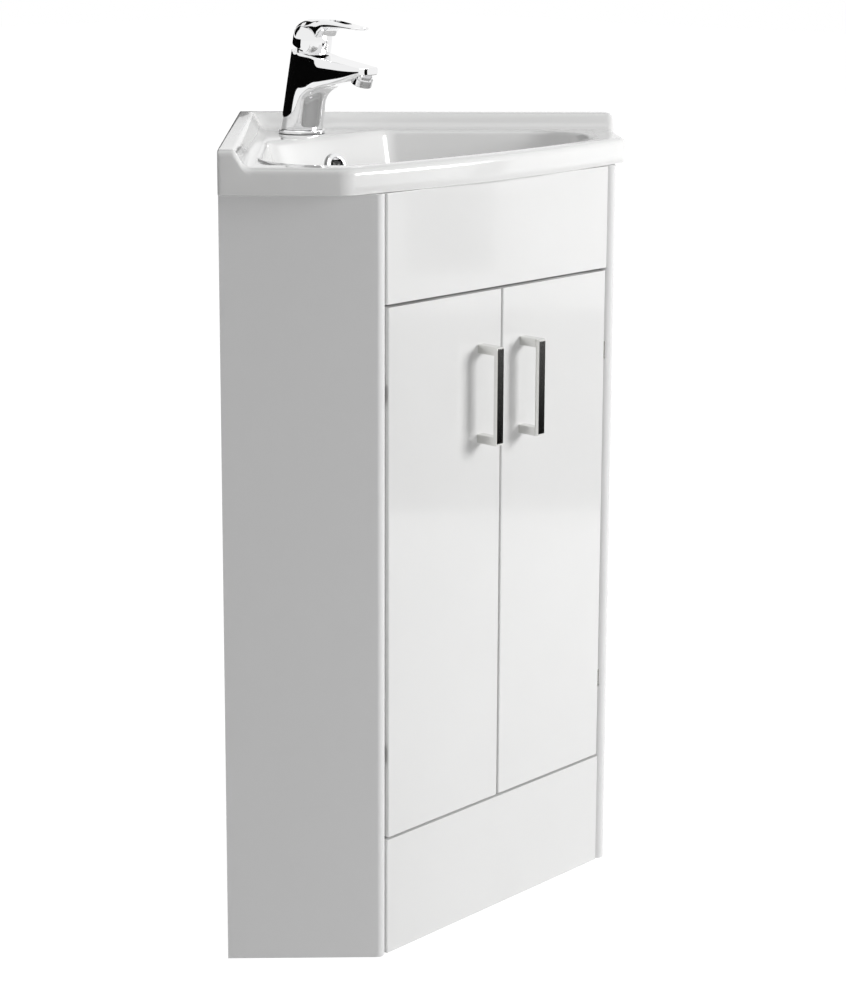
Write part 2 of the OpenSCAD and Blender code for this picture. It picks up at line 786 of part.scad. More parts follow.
module left_hinge_plates() { color("silver") left_plates(); }
module right_hinge_plates() { color("silver") right_side() left_plates(); }
module left_hinge_pins() { color("gray") left_pins(); }
module right_hinge_pins() { color("gray") right_side() left_pins(); }
module left_lower_hinge_arm() { color("silver") left_hinge_frame(hinge_zs[0]) hinge_arm(); }
module left_upper_hinge_arm() { color("silver") left_hinge_frame(hinge_zs[1]) hinge_arm(); }
module right_lower_hinge_arm() { color("silver") right_side() left_hinge_frame(hinge_zs[0]) hinge_arm(); }
module right_upper_hinge_arm() { color("silver") right_side() left_hinge_frame(hinge_zs[1]) hinge_arm(); }
module left_lower_hinge_cup() { color("silver") left_hinge_frame(hinge_zs[0]) hinge_cup(); }
module left_upper_hinge_cup() { color("silver") left_hinge_frame(hinge_zs[1]) hinge_cup(); }
module right_lower_hinge_cup() { color("silver") right_side() left_hinge_frame(hinge_zs[0]) hinge_cup(); }
module right_upper_hinge_cup() { color("silver") right_side() left_hinge_frame(hinge_zs[1]) hinge_cup(); }
module left_hinge_screws() { color("gray") left_screws(); }
module right_hinge_screws() { color("gray") right_side() left_screws(); }
module plate_screws() {
    color("gray") both_sides() plate_screw_places() screw(plate_t + board_play + screw_bite - 1);
}

// ---- basin

// Centre of a circle of radius r inside a straight edge (normal angle ang, distance
// dist from the wall corner) and inside the front arc of radius arc_r
function corner_centre(dist, ang, r, arc_r) =
    let (n = [cos(ang), sin(ang)], m = [sin(ang), -cos(ang)],
         w = n * (dist - r) - [0, front_arc_v], h = w * m, c = w * w - pow(arc_r - r, 2))
    n * (dist - r) + m * (-h + sqrt(h * h - c));

function arc_angle(p) = atan2(p[1] - front_arc_v, p[0]);

// Outer outline of the basin in (u, v), drawn in by inset on the free edges only
function basin_outline(inset) =
    let (ang = 135 + basin_splay, dist = basin_w * cos(basin_splay),
         c = corner_centre(dist, ang, basin_corner_r, basin_front_r), a = arc_angle(c),
         end = (dist - inset) / cos(basin_splay),
         half = concat([[-end / root2, end / root2]],
             arc(c, basin_corner_r - inset, ang, a, 8),
             arc([0, front_arc_v], basin_front_r - inset, a, 90, 8)))
    concat([[0, 0]], half, mirrored(half));

// Outline of the bowl in (u, v), drawn in by inset all round
function bowl_outline(inset) =
    let (front = basin_front_r - front_rim_w,
         c = corner_centre(-bowl_side, 225, bowl_corner_r, front), a = arc_angle(c),
         r = bowl_back_r, side = bowl_side + inset + r, v = bowl_back_v + inset + r,
         back = [side * root2 - v, v],
         half = concat(arc(back, r, 270, 225, 5),
             arc(c, bowl_corner_r - inset, 225, a, 14),
             arc([0, front_arc_v], front - inset, a, 90, 8)))
    concat(half, mirrored(half));

module slice(points, z) {
    plan() translate([0, 0, z]) linear_extrude(0.02) polygon(points);
}

module rim_solid() {
    hull() {
        slice(basin_outline(1), cabinet_h + bed_t);
        slice(basin_outline(0), cabinet_h + bed_t + 1);
        for (t = [0 : 22.5 : 90])
            slice(basin_outline(rim_r * (1 - cos(t))), deck_z - 0.02 - rim_r * (1 - sin(t)));
    }
}

// Hollow under the deck, inside the band that rests on the cabinet
module deck_hollow() {
    reach = basin_w - band_w;
    front = root2 * (basin_v - band_w - 14) - reach;
    corner_frame() translate([0, 0, cabinet_h - 1]) linear_extrude(rim_h - deck_t + 1)
        polygon([[reach, band_w], [reach, front], [front, reach], [band_w, reach],
                 [band_w, band_w]]);
}

module bowl_cavity() {
    drop = bowl_depth;
    lean_in = tan(bowl_lean);
    hull() {
        slice(bowl_outline(-3), deck_z + 1);
        slice(bowl_outline(0), deck_z - 4);
        slice(bowl_outline(0.35 * drop * lean_in), deck_z - 0.35 * drop);
        slice(bowl_outline(0.7 * drop * lean_in + 2), deck_z - 0.7 * drop);
        slice(bowl_outline(0.9 * drop * lean_in + 12), deck_z - 0.92 * drop);
        slice(bowl_outline(0.9 * drop * lean_in + 28), floor_z);
    }
}

module bowl_shell() {
    drop = bowl_depth;
    lean_in = tan(bowl_lean);
    w = bowl_wall;
    hull() {
        slice(bowl_outline(-w + 2), deck_z - deck_t + 1);
        slice(bowl_outline(0.35 * drop * lean_in - w), deck_z - 0.35 * drop);
        slice(bowl_outline(0.7 * drop * lean_in + 2 - w), deck_z - 0.7 * drop);
        slice(bowl_outline(0.9 * drop * lean_in + 10 - w), deck_z - 0.92 * drop - w / 2);
        slice(bowl_outline(0.9 * drop * lean_in + 26 - w), floor_z - w);
    }
}

// Raised edge along the left wall with a hollow curve down to the deck
module left_upstand() {
    w = upstand_w;
    r = upstand_r;
    foot = w + cove_r;
    cove_z = deck_z + cove_r;
    end_r = rim_r + 1;
    intersection() {
        corner_frame() rotate([90, 0, 90]) linear_extrude(basin_w)
            polygon(concat([[0, deck_z - 6], [foot, deck_z - 6]],
                arc([foot, cove_z], cove_r, 270, 180, 6),
                arc([w - r, top_z - r], r, 0, 90, 5), arc([2, top_z - 2], 2, 90, 180, 3)));
        corner_frame() translate([0, foot + 1, 0]) rotate([90, 0, 0]) linear_extrude(foot + 2)
            polygon(concat([[0, deck_z - 7], [basin_w - 0.5, deck_z - 7]],
                arc([basin_w - 0.5 - end_r, top_z - end_r], end_r, 0, 90, 6), [[0, top_z]]));
    }
}

// The overflow's passage: from the pocket behind the ring, down and to the waste hole
module duct_path(r) {
    hull() for (p = [duct_a, duct_b]) translate([0, corner_y - p[0], p[1]])
        sphere(r = r, $fn = 24);
    hull() for (p = [duct_b, duct_c]) translate([0, corner_y - p[0], p[1]])
        sphere(r = r, $fn = 24);
}

module duct_bore(from, to) {
    d = to - from;
    translate([0, corner_y - from[0], from[1]]) rotate([atan2(d[0], d[1]), 0, 0])
        cylinder(r = duct_r, h = norm(d), $fn = 32);
}

// A round pocket in which the two bores meet
module duct_bend() {
    translate([0, corner_y - duct_b[0], duct_b[1]]) sphere(r = duct_r + 2.2, $fn = 32);
}

// Local Z points out of the bowl's back wall, at the overflow's centre
module overflow_frame() {
    translate([0, corner_y - overflow_v, overflow_z]) rotate([90 - bowl_lean, 0, 0]) children();
}

module basin() {
    color("white") difference() {
        union() {
            difference() {
                union() {
                    rim_solid();
                    left_upstand();
                    right_side() left_upstand();
                }
                deck_hollow();
            }
            bowl_shell();
            duct_path(duct_r + duct_wall);
            plan() translate([0, waste_v, boss_z0])
                cylinder(r = waste_hole_r + 11, h = waste_boss_h - 1, $fn = curve_fn);
        }
        bowl_cavity();
        plan() {
            translate([0, waste_v, boss_z0 - 1])
                cylinder(r = waste_hole_r, h = waste_boss_h + 2, $fn = curve_fn);
            translate([0, tap_v, cabinet_h])
                cylinder(r = tap_hole_r, h = rim_h + 1, $fn = curve_fn);
        }
        overflow_frame() translate([0, 0, -14]) cylinder(r = overflow_r, h = 20, $fn = curve_fn);
        duct_bore(duct_a, duct_b);
        duct_bore(duct_b, duct_c + [12, 0]);
        duct_bend();
    }
}

module overflow_ring() {
    lip = 0.9;
    seat = 0.5;
    color("silver") overflow_frame() rotate_extrude($fn = curve_fn) polygon(concat(
        [[ring_hole_r, -10], [overflow_r - 0.1, -10], [overflow_r - 0.1, seat], [ring_r, seat]],
        arc([ring_r - lip, ring_t - lip], lip, 0, 90, 4),
        arc([ring_hole_r + lip, ring_t - lip], lip, 90, 180, 4)));
}

// ---- waste

module at_waste(z) { plan() translate([0, waste_v, z]) children(); }

module waste_body() {
    z1 = floor_z + seal_t;
    inner = waste_tail_r - waste_wall;
    arm = plug_stem_r + 3;
    color("silver") difference() {
        union() {
            at_waste(tail_z0) difference() {
                cylinder(r = waste_tail_r, h = z1 - tail_z0 + 1, $fn = curve_fn);
                translate([0, 0, -1]) cylinder(r = inner, h = z1 - tail_z0 + 9, $fn = curve_fn);
            }
            at_waste(0) rotate_extrude($fn = curve_fn) polygon(concat(
                [[inner, z1], [waste_flange_r, z1]],
                arc([waste_flange_r - 2, z1 + waste_flange_t - 2], 2, 0, 90, 4),
                [[inner + 3, z1 + waste_flange_t], [inner, z1 + waste_flange_t - 2]]));
            at_waste(guide_z) {
                cylinder(r = arm, h = 5, $fn = curve_fn);
                for (t = [90, 210, 330]) rotate(t) translate([0, -1.5, 0])
                    cube([inner + 1, 3, 5]);
            }
        }
        at_waste(groove_z0) difference() {
            cylinder(r = waste_tail_r + 1, h = groove_w, $fn = curve_fn);
            translate([0, 0, -1])
                cylinder(r = waste_tail_r - groove_d, h = groove_w + 2, $fn = curve_fn);
        }
        at_waste(guide_z - 1) cylinder(r = plug_stem_r + plug_play, h = 7, $fn = curve_fn);
        at_waste(duct_c[1]) rotate([-90, 0, 0]) translate([0, 0, -waste_tail_r - 2])
            cylinder(r = 5, h = 10, $fn = curve_fn);
    }
}

module waste_seal() {
    color("dimgray") at_waste(floor_z) difference() {
        cylinder(r = waste_flange_r - 1, h = seal_t, $fn = curve_fn);
        translate([0, 0, -1]) cylinder(r = waste_hole_r, h = seal_t + 2, $fn = curve_fn);
    }
}

module waste_washer() {
    color("dimgray") at_waste(boss_z0 - washer_t) difference() {
        cylinder(r = waste_hole_r + 8, h = washer_t, $fn = curve_fn);
        translate([0, 0, -1]) cylinder(r = waste_tail_r + 0.1, h = washer_t + 2, $fn = curve_fn);
    }
}

module waste_nut() {
    color("silver") at_waste(nut_z0) difference() {
        cylinder(r = waste_tail_r + 9, h = nut_h, $fn = 6);
        translate([0, 0, -1]) cylinder(r = waste_tail_r + 0.05, h = nut_h + 2, $fn = curve_fn);
    }
}

module waste_plug() {
    stem_z0 = guide_z - 6;
    color("silver") at_waste(0) rotate_extrude($fn = curve_fn) polygon(concat(
        [[0, stem_z0], [plug_stem_r, stem_z0], [plug_stem_r, plug_seat], [plug_r, plug_seat]],
        arc([plug_r - 2, plug_seat + 2], 2, 0, 60, 3),
        [[plug_r - 8, plug_seat + plug_t - 0.4], [0, plug_seat + plug_t]]));
}

// ---- mixer

module at_tap(z) { plan() translate([0, tap_v, z]) children(); }

module tap_gasket() {
    color("dimgray") at_tap(deck_z) difference() {
        cylinder(r = foot_r - 1.5, h = foot_z - deck_z, $fn = curve_fn);
        translate([0, 0, -1]) cylinder(r = tap_hole_r, h = 3, $fn = curve_fn);
    }
}

module tap_foot_ring() {
    color("silver") at_tap(0) rotate_extrude($fn = curve_fn) polygon(concat(
        [[tap_hole_r - 1, foot_z], [foot_r, foot_z], [foot_r, body_z0 - 1.5]],
        arc([foot_r - 1.5, body_z0 - 1.5], 1.5, 0, 90, 4), [[tap_hole_r - 1, body_z0]]));
}

// Side view of the spout, in (v, z)
function spout_side() = concat(
    [[pivot_v - 12, pivot_z - 22], [pivot_v + body_top_r + 4, pivot_z - 19]],
    arc([tip_v - tip_r, tip_z - tip_r], tip_r, 82, 0, 3),
    arc([tip_v - tip_r, tip_z - spout_tip_t + tip_r], tip_r, 0, aerator_tilt - 90, 3),
    [nozzle_back],
    arc(neck, neck_r, 97, 180, 6),
    [[tap_v + body_foot_r - 8, deck_z + 6]]);

// Half the width of the spout along v
function spout_half(v) = let (t = (v - pivot_v) / spout_l)
    body_top_r - 1 + (spout_w / 2 - body_top_r + 1) * pow(max(0, min(1, t)), 0.8);

module spout_solid() {
    steps = 6;
    edge = [for (i = [0 : steps]) let (v = pivot_v - 4 + (spout_l + 5) * i / steps)
        [spout_half(v), v]];
    intersection() {
        middle_plane(2 * body_foot_r) linear_extrude(2 * body_foot_r) polygon(spout_side());
        plan() translate([0, 0, deck_z]) linear_extrude(pivot_l)
            polygon(concat(edge, mirrored(edge)));
    }
}

module tap_body() {
    color("silver") difference() {
        union() {
            hull() {
                at_tap(body_z0) cylinder(r = body_foot_r, h = 0.5, $fn = 48);
                lean_frame() translate([0, 0, body_top_w - 4])
                    cylinder(r = body_top_r, h = 3, $fn = 48);
                lean_frame() translate([0, 0, body_top_w - 1])
                    cylinder(r = body_top_r - 1, h = 1, $fn = 48);
            }
            spout_solid();
        }
        lean_frame() translate([0, 0, cartridge_top_w - cartridge_l])
            cylinder(r = cartridge_r + 0.6, h = cartridge_l + 30, $fn = curve_fn);
        for (s = [-1, 1]) at_tap(body_z0 - 1) translate([s * inlet_gap / 2, 4, 0])
            cylinder(r = inlet_r, h = 16, $fn = curve_fn);
        at_tap(body_z0 - 1) translate([0, -11, 0])
            cylinder(r = stud_r + 0.01, h = 13, $fn = curve_fn);
        aerator_frame() translate([0, 0, -4]) cylinder(r = aerator_r - 1.9, h = 9, $fn = curve_fn);
        waterways();
    }
}

// Narrow passages: up from the two inlets to the cartridge, and out to the nozzle
module waterways() {
    pocket_z = pivot_z + (cartridge_top_w - cartridge_l) * cos(lean);
    for (s = [-1, 1]) at_tap(body_z0 + 14) translate([s * inlet_gap / 2, 4, 0])
        cylinder(r = 2.5, h = pocket_z - body_z0 - 10, $fn = 32);
    translate([0, corner_y - pivot_v, nozzle[1] + 3.5]) rotate([90, 0, 0])
        cylinder(r = 3, h = nozzle[0] - pivot_v, $fn = 32);
}

// Local Z points out of the spout's nozzle, along the water
module aerator_frame() {
    plan() translate([0, nozzle[0], nozzle[1]]) rotate([180 + aerator_tilt, 0, 0]) children();
}

module tap_aerator() {
    r = aerator_r;
    seat = 0.3;
    color("silver") aerator_frame() rotate_extrude($fn = curve_fn) polygon([
        [0, -3], [r - 2, -3], [r - 2, seat], [r, seat], [r, aerator_h - 1], [r - 1, aerator_h],
        [r - 2.5, aerator_h], [r - 2.5, aerator_h - 2], [0, aerator_h - 2]]);
}

module tap_cartridge() {
    color("ivory") lean_frame() translate([0, 0, cartridge_top_w - cartridge_l]) difference() {
        cylinder(r = cartridge_r, h = cartridge_l, $fn = curve_fn);
        translate([0, 0, cartridge_floor])
            cylinder(r = stem_r + stem_play, h = cartridge_l, $fn = curve_fn);
    }
}

module tap_collar() {
    color("silver") lean_frame() rotate_extrude($fn = curve_fn) polygon([
        [stem_r + 2, cartridge_top_w], [cartridge_r + 0.5, cartridge_top_w],
        [cartridge_r + 0.5, body_top_w], [collar_r, body_top_w], [collar_r, collar_top_w - 1],
        [collar_r - 1, collar_top_w], [stem_r + 2, collar_top_w]]);
}

module tap_stem() {
    z0 = cartridge_top_w - cartridge_l + cartridge_floor + 0.4;
    color("silver") lean_frame() difference() {
        union() {
            translate([0, 0, z0]) cylinder(r = stem_r, h = -z0, $fn = curve_fn);
            sphere(r = stem_r, $fn = curve_fn);
        }
        translate([-20, 0, 0]) rotate([0, 90, 0])
            cylinder(r = lever_pin_r + stem_play, h = 40, $fn = curve_fn);
    }
}

module tap_lever_pin() {
    color("gray") lean_frame() translate([-pin_half, 0, 0]) rotate([0, 90, 0])
        cylinder(r = lever_pin_r, h = 2 * pin_half, $fn = curve_fn);
}

// Plan of the lever's blade around the pivot: X across, Y to the front
function blade_plan() = let (r = lever_w / 2, tip = lever_l - r, root = hub_r - 5,
    half = concat([[root, -2], [root, 8], [r + 2, tip * 0.55]], arc([0, tip], r, 5, 90, 8)))
    concat(half, mirrored(half));

// Side view of the blade around the pivot, (front, up)
function blade_side() = [[-2, hub_r - 5], [-2, hub_r - 1], [8, hub_r + 0.8], [lever_l * 0.24, hub_r + 1.1],
    [lever_l * 0.54, hub_r - 1], [lever_l * 0.75, hub_r - 3.9], [lever_l, hub_r - 5.7],
    [lever_l, hub_r - 5.7 - lever_t + 1],
    [lever_l * 0.75, hub_r - 3.3 - lever_t], [lever_l * 0.5, hub_r - 3 - lever_t],
    [hub_r + 1, hub_r - 13], [hub_r - 4, hub_r - 20], [hub_r - 6, hub_r - 12], [8, hub_r - 4]];

// The lever's round hub, or what lies inside it, as a turned shape around the pivot
function dome(r, bottom) = concat([[0, bottom], [r, bottom]], arc([0, 0], r, 0, 90, 10));

module tap_lever() {
    inner = hub_r - hub_wall;
    lug = 3;
    lug_w = 8;
    lug_top = sqrt(hub_r * hub_r - pin_half * pin_half - lug_w * lug_w / 4) - 0.3;
    cut = atan2(hub_rear_w - hub_front_w, 2 * hub_r);
    color("silver") difference() {
        union() {
            lean_frame() difference() {
                rotate_extrude($fn = curve_fn) polygon(dome(hub_r, hub_front_w));
                rotate_extrude($fn = curve_fn) polygon(dome(inner, hub_front_w - 5));
                translate([0, hub_r, hub_front_w]) rotate([-cut, 0, 0])
                    translate([-2 * hub_r, -4 * hub_r, -2 * hub_r])
                        cube([4 * hub_r, 5 * hub_r, 2 * hub_r]);
            }
            intersection() {
                translate([0, corner_y - pivot_v, pivot_z]) mirror([0, 1, 0])
                    translate([0, 0, -hub_r]) linear_extrude(3 * hub_r) polygon(blade_plan());
                translate([0, 0, pivot_z]) middle_plane(4 * hub_r)
                    linear_extrude(4 * hub_r) translate([pivot_v, 0]) polygon(blade_side());
                difference() {
                    translate([-50, corner_y - pivot_v - 150, pivot_z - 50]) cube([100, 200, 100]);
                    lean_frame() rotate_extrude($fn = curve_fn)
                        polygon(dome(inner + 0.6, hub_front_w - 5));
                }
            }
            lean_frame() for (s = [-1, 1])
                translate([s * (pin_half - lug / 2) - lug / 2, -lug_w / 2, -lug_w / 2])
                    cube([lug, lug_w, lug_top + lug_w / 2]);
        }
        lean_frame() translate([-20, 0, 0]) rotate([0, 90, 0])
            cylinder(r = lever_pin_r + 0.01, h = 40, $fn = curve_fn);
        indicator_frame() translate([0, 0, -hub_wall - 8])
            cylinder(r = indicator_r, h = hub_wall + 10, $fn = curve_fn);
        translate([0, corner_y - pivot_v, pivot_z]) mirror([0, 1, 0]) linear_extrude(2 * hub_r)
            polygon(concat(arc([0, lever_l * 0.53 + (loop_l - loop_w) / 2], loop_w / 2, 0, 180, 12),
                           arc([0, lever_l * 0.53 - (loop_l - loop_w) / 2], loop_w / 2, 180, 360, 12)));
    }
}

// Local Z points out of the hub's front, a little above the pivot
module indicator_frame() {
    lean_frame() rotate([-96, 0, 0]) translate([0, 0, hub_r]) children();
}

module tap_indicator() {
    color("silver") indicator_frame() translate([0, 0, -hub_wall - 0.4])
        cylinder(r = indicator_r - 0.05, h = hub_wall + 0.6, $fn = curve_fn);
}

module tap_stud() {
    color("gray") at_tap(clamp_z - 36) translate([0, -11, 0])
        cylinder(r = stud_r, h = 36 + deck_t + foot_h + 10, $fn = curve_fn);
}

module clamp_plate(t) {
    difference() {
        cylinder(r = tap_hole_r + 3, h = t, $fn = curve_fn);
        translate([0, -11, -1]) cylinder(r = stud_r + 0.3, h = t + 2, $fn = curve_fn);
        translate([-inlet_gap / 2 - inlet_r - 1.5, -3, -1])
            cube([inlet_gap + 2 * inlet_r + 3, 40, t + 2]);
    }
}

module tap_clamp_washers() {
    color("dimgray") at_tap(clamp_z) {
        translate([0, 0, -3]) clamp_plate(3);
        translate([0, 0, -5.1]) clamp_plate(2);
    }
}

module tap_stud_nut() {
    color("gray") at_tap(clamp_z - 12) translate([0, -11, 0]) difference() {
        cylinder(r = stud_r + 3, h = 6.8, $fn = 6);
        translate([0, 0, -1]) cylinder(r = stud_r + 0.05, h = 9, $fn = curve_fn);
    }
}

// ---- drawing

left_side_panel();
right_side_panel();
base_panel();
plinth();
fascia();
stretcher();
left_upper_rail();
right_upper_rail();
left_lower_rail();
right_lower_rail();
corner_post();
dowels();
left_fascia_bracket();
right_fascia_bracket();
left_plinth_bracket();
right_plinth_bracket();
bracket_screws();
left_door();
right_door();
left_handle();
right_handle();
left_handle_screws();
right_handle_screws();
left_bumpers();
right_bumpers();
left_hinge_plates();
right_hinge_plates();
left_hinge_pins();
right_hinge_pins();
left_upper_hinge_arm();
left_lower_hinge_arm();
right_upper_hinge_arm();
right_lower_hinge_arm();
left_upper_hinge_cup();
left_lower_hinge_cup();
right_upper_hinge_cup();
right_lower_hinge_cup();
left_hinge_screws();
right_hinge_screws();
plate_screws();
basin();
overflow_ring();
waste_body();
waste_seal();
waste_washer();
waste_nut();
waste_plug();
tap_gasket();
tap_foot_ring();
tap_body();
tap_aerator();
tap_cartridge();
tap_collar();
tap_stem();
tap_lever_pin();
tap_lever();
tap_indicator();
tap_stud();
tap_clamp_washers();
tap_stud_nut();
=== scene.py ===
import json
import math

import bmesh
import bpy
from mathutils import Matrix, Vector

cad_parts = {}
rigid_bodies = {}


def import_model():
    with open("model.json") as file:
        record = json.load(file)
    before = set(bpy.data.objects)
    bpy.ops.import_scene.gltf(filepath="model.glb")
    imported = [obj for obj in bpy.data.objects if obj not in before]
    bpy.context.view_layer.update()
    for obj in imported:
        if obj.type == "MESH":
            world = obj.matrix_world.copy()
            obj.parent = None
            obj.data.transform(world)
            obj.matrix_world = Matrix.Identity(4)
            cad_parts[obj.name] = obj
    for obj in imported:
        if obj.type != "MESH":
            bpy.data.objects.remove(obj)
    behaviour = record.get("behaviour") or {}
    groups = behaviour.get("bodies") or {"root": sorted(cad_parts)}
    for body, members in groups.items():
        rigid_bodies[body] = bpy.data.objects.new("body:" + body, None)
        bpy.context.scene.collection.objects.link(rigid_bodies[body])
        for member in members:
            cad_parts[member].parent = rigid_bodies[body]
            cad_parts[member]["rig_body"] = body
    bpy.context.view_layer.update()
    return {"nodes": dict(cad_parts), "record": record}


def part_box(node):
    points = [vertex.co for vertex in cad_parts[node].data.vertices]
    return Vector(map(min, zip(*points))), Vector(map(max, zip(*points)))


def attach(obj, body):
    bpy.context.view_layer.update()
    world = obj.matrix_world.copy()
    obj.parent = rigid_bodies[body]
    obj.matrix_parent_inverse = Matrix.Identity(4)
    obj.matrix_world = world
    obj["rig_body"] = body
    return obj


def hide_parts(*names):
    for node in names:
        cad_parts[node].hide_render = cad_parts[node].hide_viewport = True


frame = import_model()
bpy.ops.object.select_all(action="DESELECT")
mm = 0.001
cornerY = 0.218118    # Y of the room corner; plan sizes below are (u, v) with v from there
print("frame loaded:", len(frame["nodes"]), "nodes")


# working helpers

def place(u, v, z):
    return Vector((u * mm, cornerY - v * mm, z * mm))


def standing(u, v, z):
    return Matrix.Translation(place(u, v, z))


def mix(a, b, t):
    return a + (b - a) * t


def ease(t):
    t = min(1.0, max(0.0, t))
    return t * t * (3 - 2 * t)


def along(table, x):
    # height on a line through (x, y) pairs, eased at the pairs by a cubic
    for i in range(len(table) - 1):
        (x0, y0), (x1, y1) = table[i], table[i + 1]
        if x <= x1 or i == len(table) - 2:
            before = table[max(i - 1, 0)]
            after = table[min(i + 2, len(table) - 1)]
            s0 = (y1 - before[1]) / (x1 - before[0])
            s1 = (after[1] - y0) / (after[0] - x0)
            t, w = (x - x0) / (x1 - x0), x1 - x0
            return ((2 * t**3 - 3 * t**2 + 1) * y0 + (t**3 - 2 * t**2 + t) * w * s0
                    + (3 * t**2 - 2 * t**3) * y1 + (t**3 - t**2) * w * s1)


def arc(cx, cy, r, start, end, count):
    return [(cx + r * math.cos(math.radians(mix(start, end, i / (count - 1)))),
             cy + r * math.sin(math.radians(mix(start, end, i / (count - 1)))))
            for i in range(count)]


def between(p, q, count, first=False):
    # points on a straight line, without its ends unless the first is asked for
    slots = count + 1 - first
    shift = 0 if first else 1
    return [(mix(p[0], q[0], (i + shift) / slots), mix(p[1], q[1], (i + shift) / slots))
            for i in range(count)]


def activate(obj):
    bpy.ops.object.select_all(action="DESELECT")
    obj.select_set(True)
    bpy.context.view_layer.objects.active = obj
    return obj


def startEdit(obj, mode="VERT"):
    activate(obj)
    bpy.ops.object.mode_set(mode="EDIT")
    bpy.ops.mesh.select_mode(type=mode)


def endEdit():
    bpy.ops.object.mode_set(mode="OBJECT")


def applyModifier(obj, kind, **settings):
    activate(obj)
    modifier = obj.modifiers.new(kind.title(), kind)
    for key, value in settings.items():
        setattr(modifier, key, value)
    bpy.ops.object.modifier_apply(modifier=modifier.name)


def settle(obj, merge=0.00001):
    activate(obj)
    bpy.ops.object.transform_apply(location=True, rotation=True, scale=True)
    startEdit(obj)
    bpy.ops.mesh.select_all(action="SELECT")
    bpy.ops.mesh.remove_doubles(threshold=merge)
    bpy.ops.mesh.dissolve_degenerate(threshold=merge)
    bpy.ops.mesh.normals_make_consistent(inside=False)
    endEdit()
    return obj


def smooth(obj, angle=35):
    activate(obj)
    bpy.ops.object.shade_smooth_by_angle(angle=math.radians(angle))
    return obj


def ringBody(rings, merge=0.00001):
    # a circle, extruded ring by ring, each ring laid on its own points
    bpy.ops.mesh.primitive_circle_add(vertices=len(rings[0]), radius=0.1)
    obj = bpy.context.object
    startEdit(obj)
    bpy.ops.mesh.select_all(action="SELECT")
    mesh = bmesh.from_edit_mesh(obj.data)
    mesh.verts.ensure_lookup_table()
    current = list(range(len(rings[0])))
    for index, point in zip(current, rings[0]):
        mesh.verts[index].co = point
    for ring in rings[1:]:
        bpy.ops.mesh.extrude_edges_move()
        mesh = bmesh.from_edit_mesh(obj.data)
        mesh.verts.index_update()
        mesh.verts.ensure_lookup_table()
        following = []
        for index, point in zip(current, ring):
            old = mesh.verts[index]
            new = next(e.other_vert(old) for e in old.link_edges if e.other_vert(old).select)
            new.co = point
            following.append(new.index)
        current = following
    bmesh.update_edit_mesh(obj.data)
    endEdit()
    return settle(obj, merge)


def turned(profile, matrix, steps=72):
    # profile in (radius, height) mm, around matrix's own Z
    rings = []
    for radius, height in profile:
        rings.append([matrix @ Vector((radius * mm * math.sin(2 * math.pi * k / steps),
                                       radius * mm * math.cos(2 * math.pi * k / steps),
                                       height * mm)) for k in range(steps)])
    return ringBody(rings)


def drill(radius, low, high, matrix, steps=64):
    # a plain cylinder to cut with
    return turned([(0, low), (radius, low), (radius, high), (0, high)], matrix, steps)


def cut(obj, cutter, operation="DIFFERENCE"):
    applyModifier(obj, "BOOLEAN", operation=operation, object=cutter, solver="EXACT")
    bpy.data.objects.remove(cutter)
    return obj


def join(obj, *others):
    activate(obj)
    for other in others:
        other.select_set(True)
    bpy.ops.object.join()
    return obj


def dress(obj, name, body, slotName, *nodes):
    obj.name = name
    obj.data.name = name
    obj.data.materials.clear()
    obj.data.materials.append(finishes[slotName])
    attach(obj, body)
    if nodes:
        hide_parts(*nodes)
    return obj


# finishes

# what a finish has where its own lines say nothing
plainLook = {
    "metal": 0, "coat": 0, "coatRough": 0.03, "stretch": (1, 1, 1), "toneScale": 6,
    "toneDetail": 3, "roughScale": 14, "bump": 0, "bumpScale": 300, "hollow": None,
}
grainRange = (0.35, 0.65)                 # noise values between which a tone or roughness runs
bumpDepth = 0.00005                       # metres
# painted shade: the tone of the dark place painted inside the overflow hole, and where it ends
hollowTone = (0.012, 0.012, 0.012, 1)
hollowEdge = 0.0005                       # metres over which the dark place ends


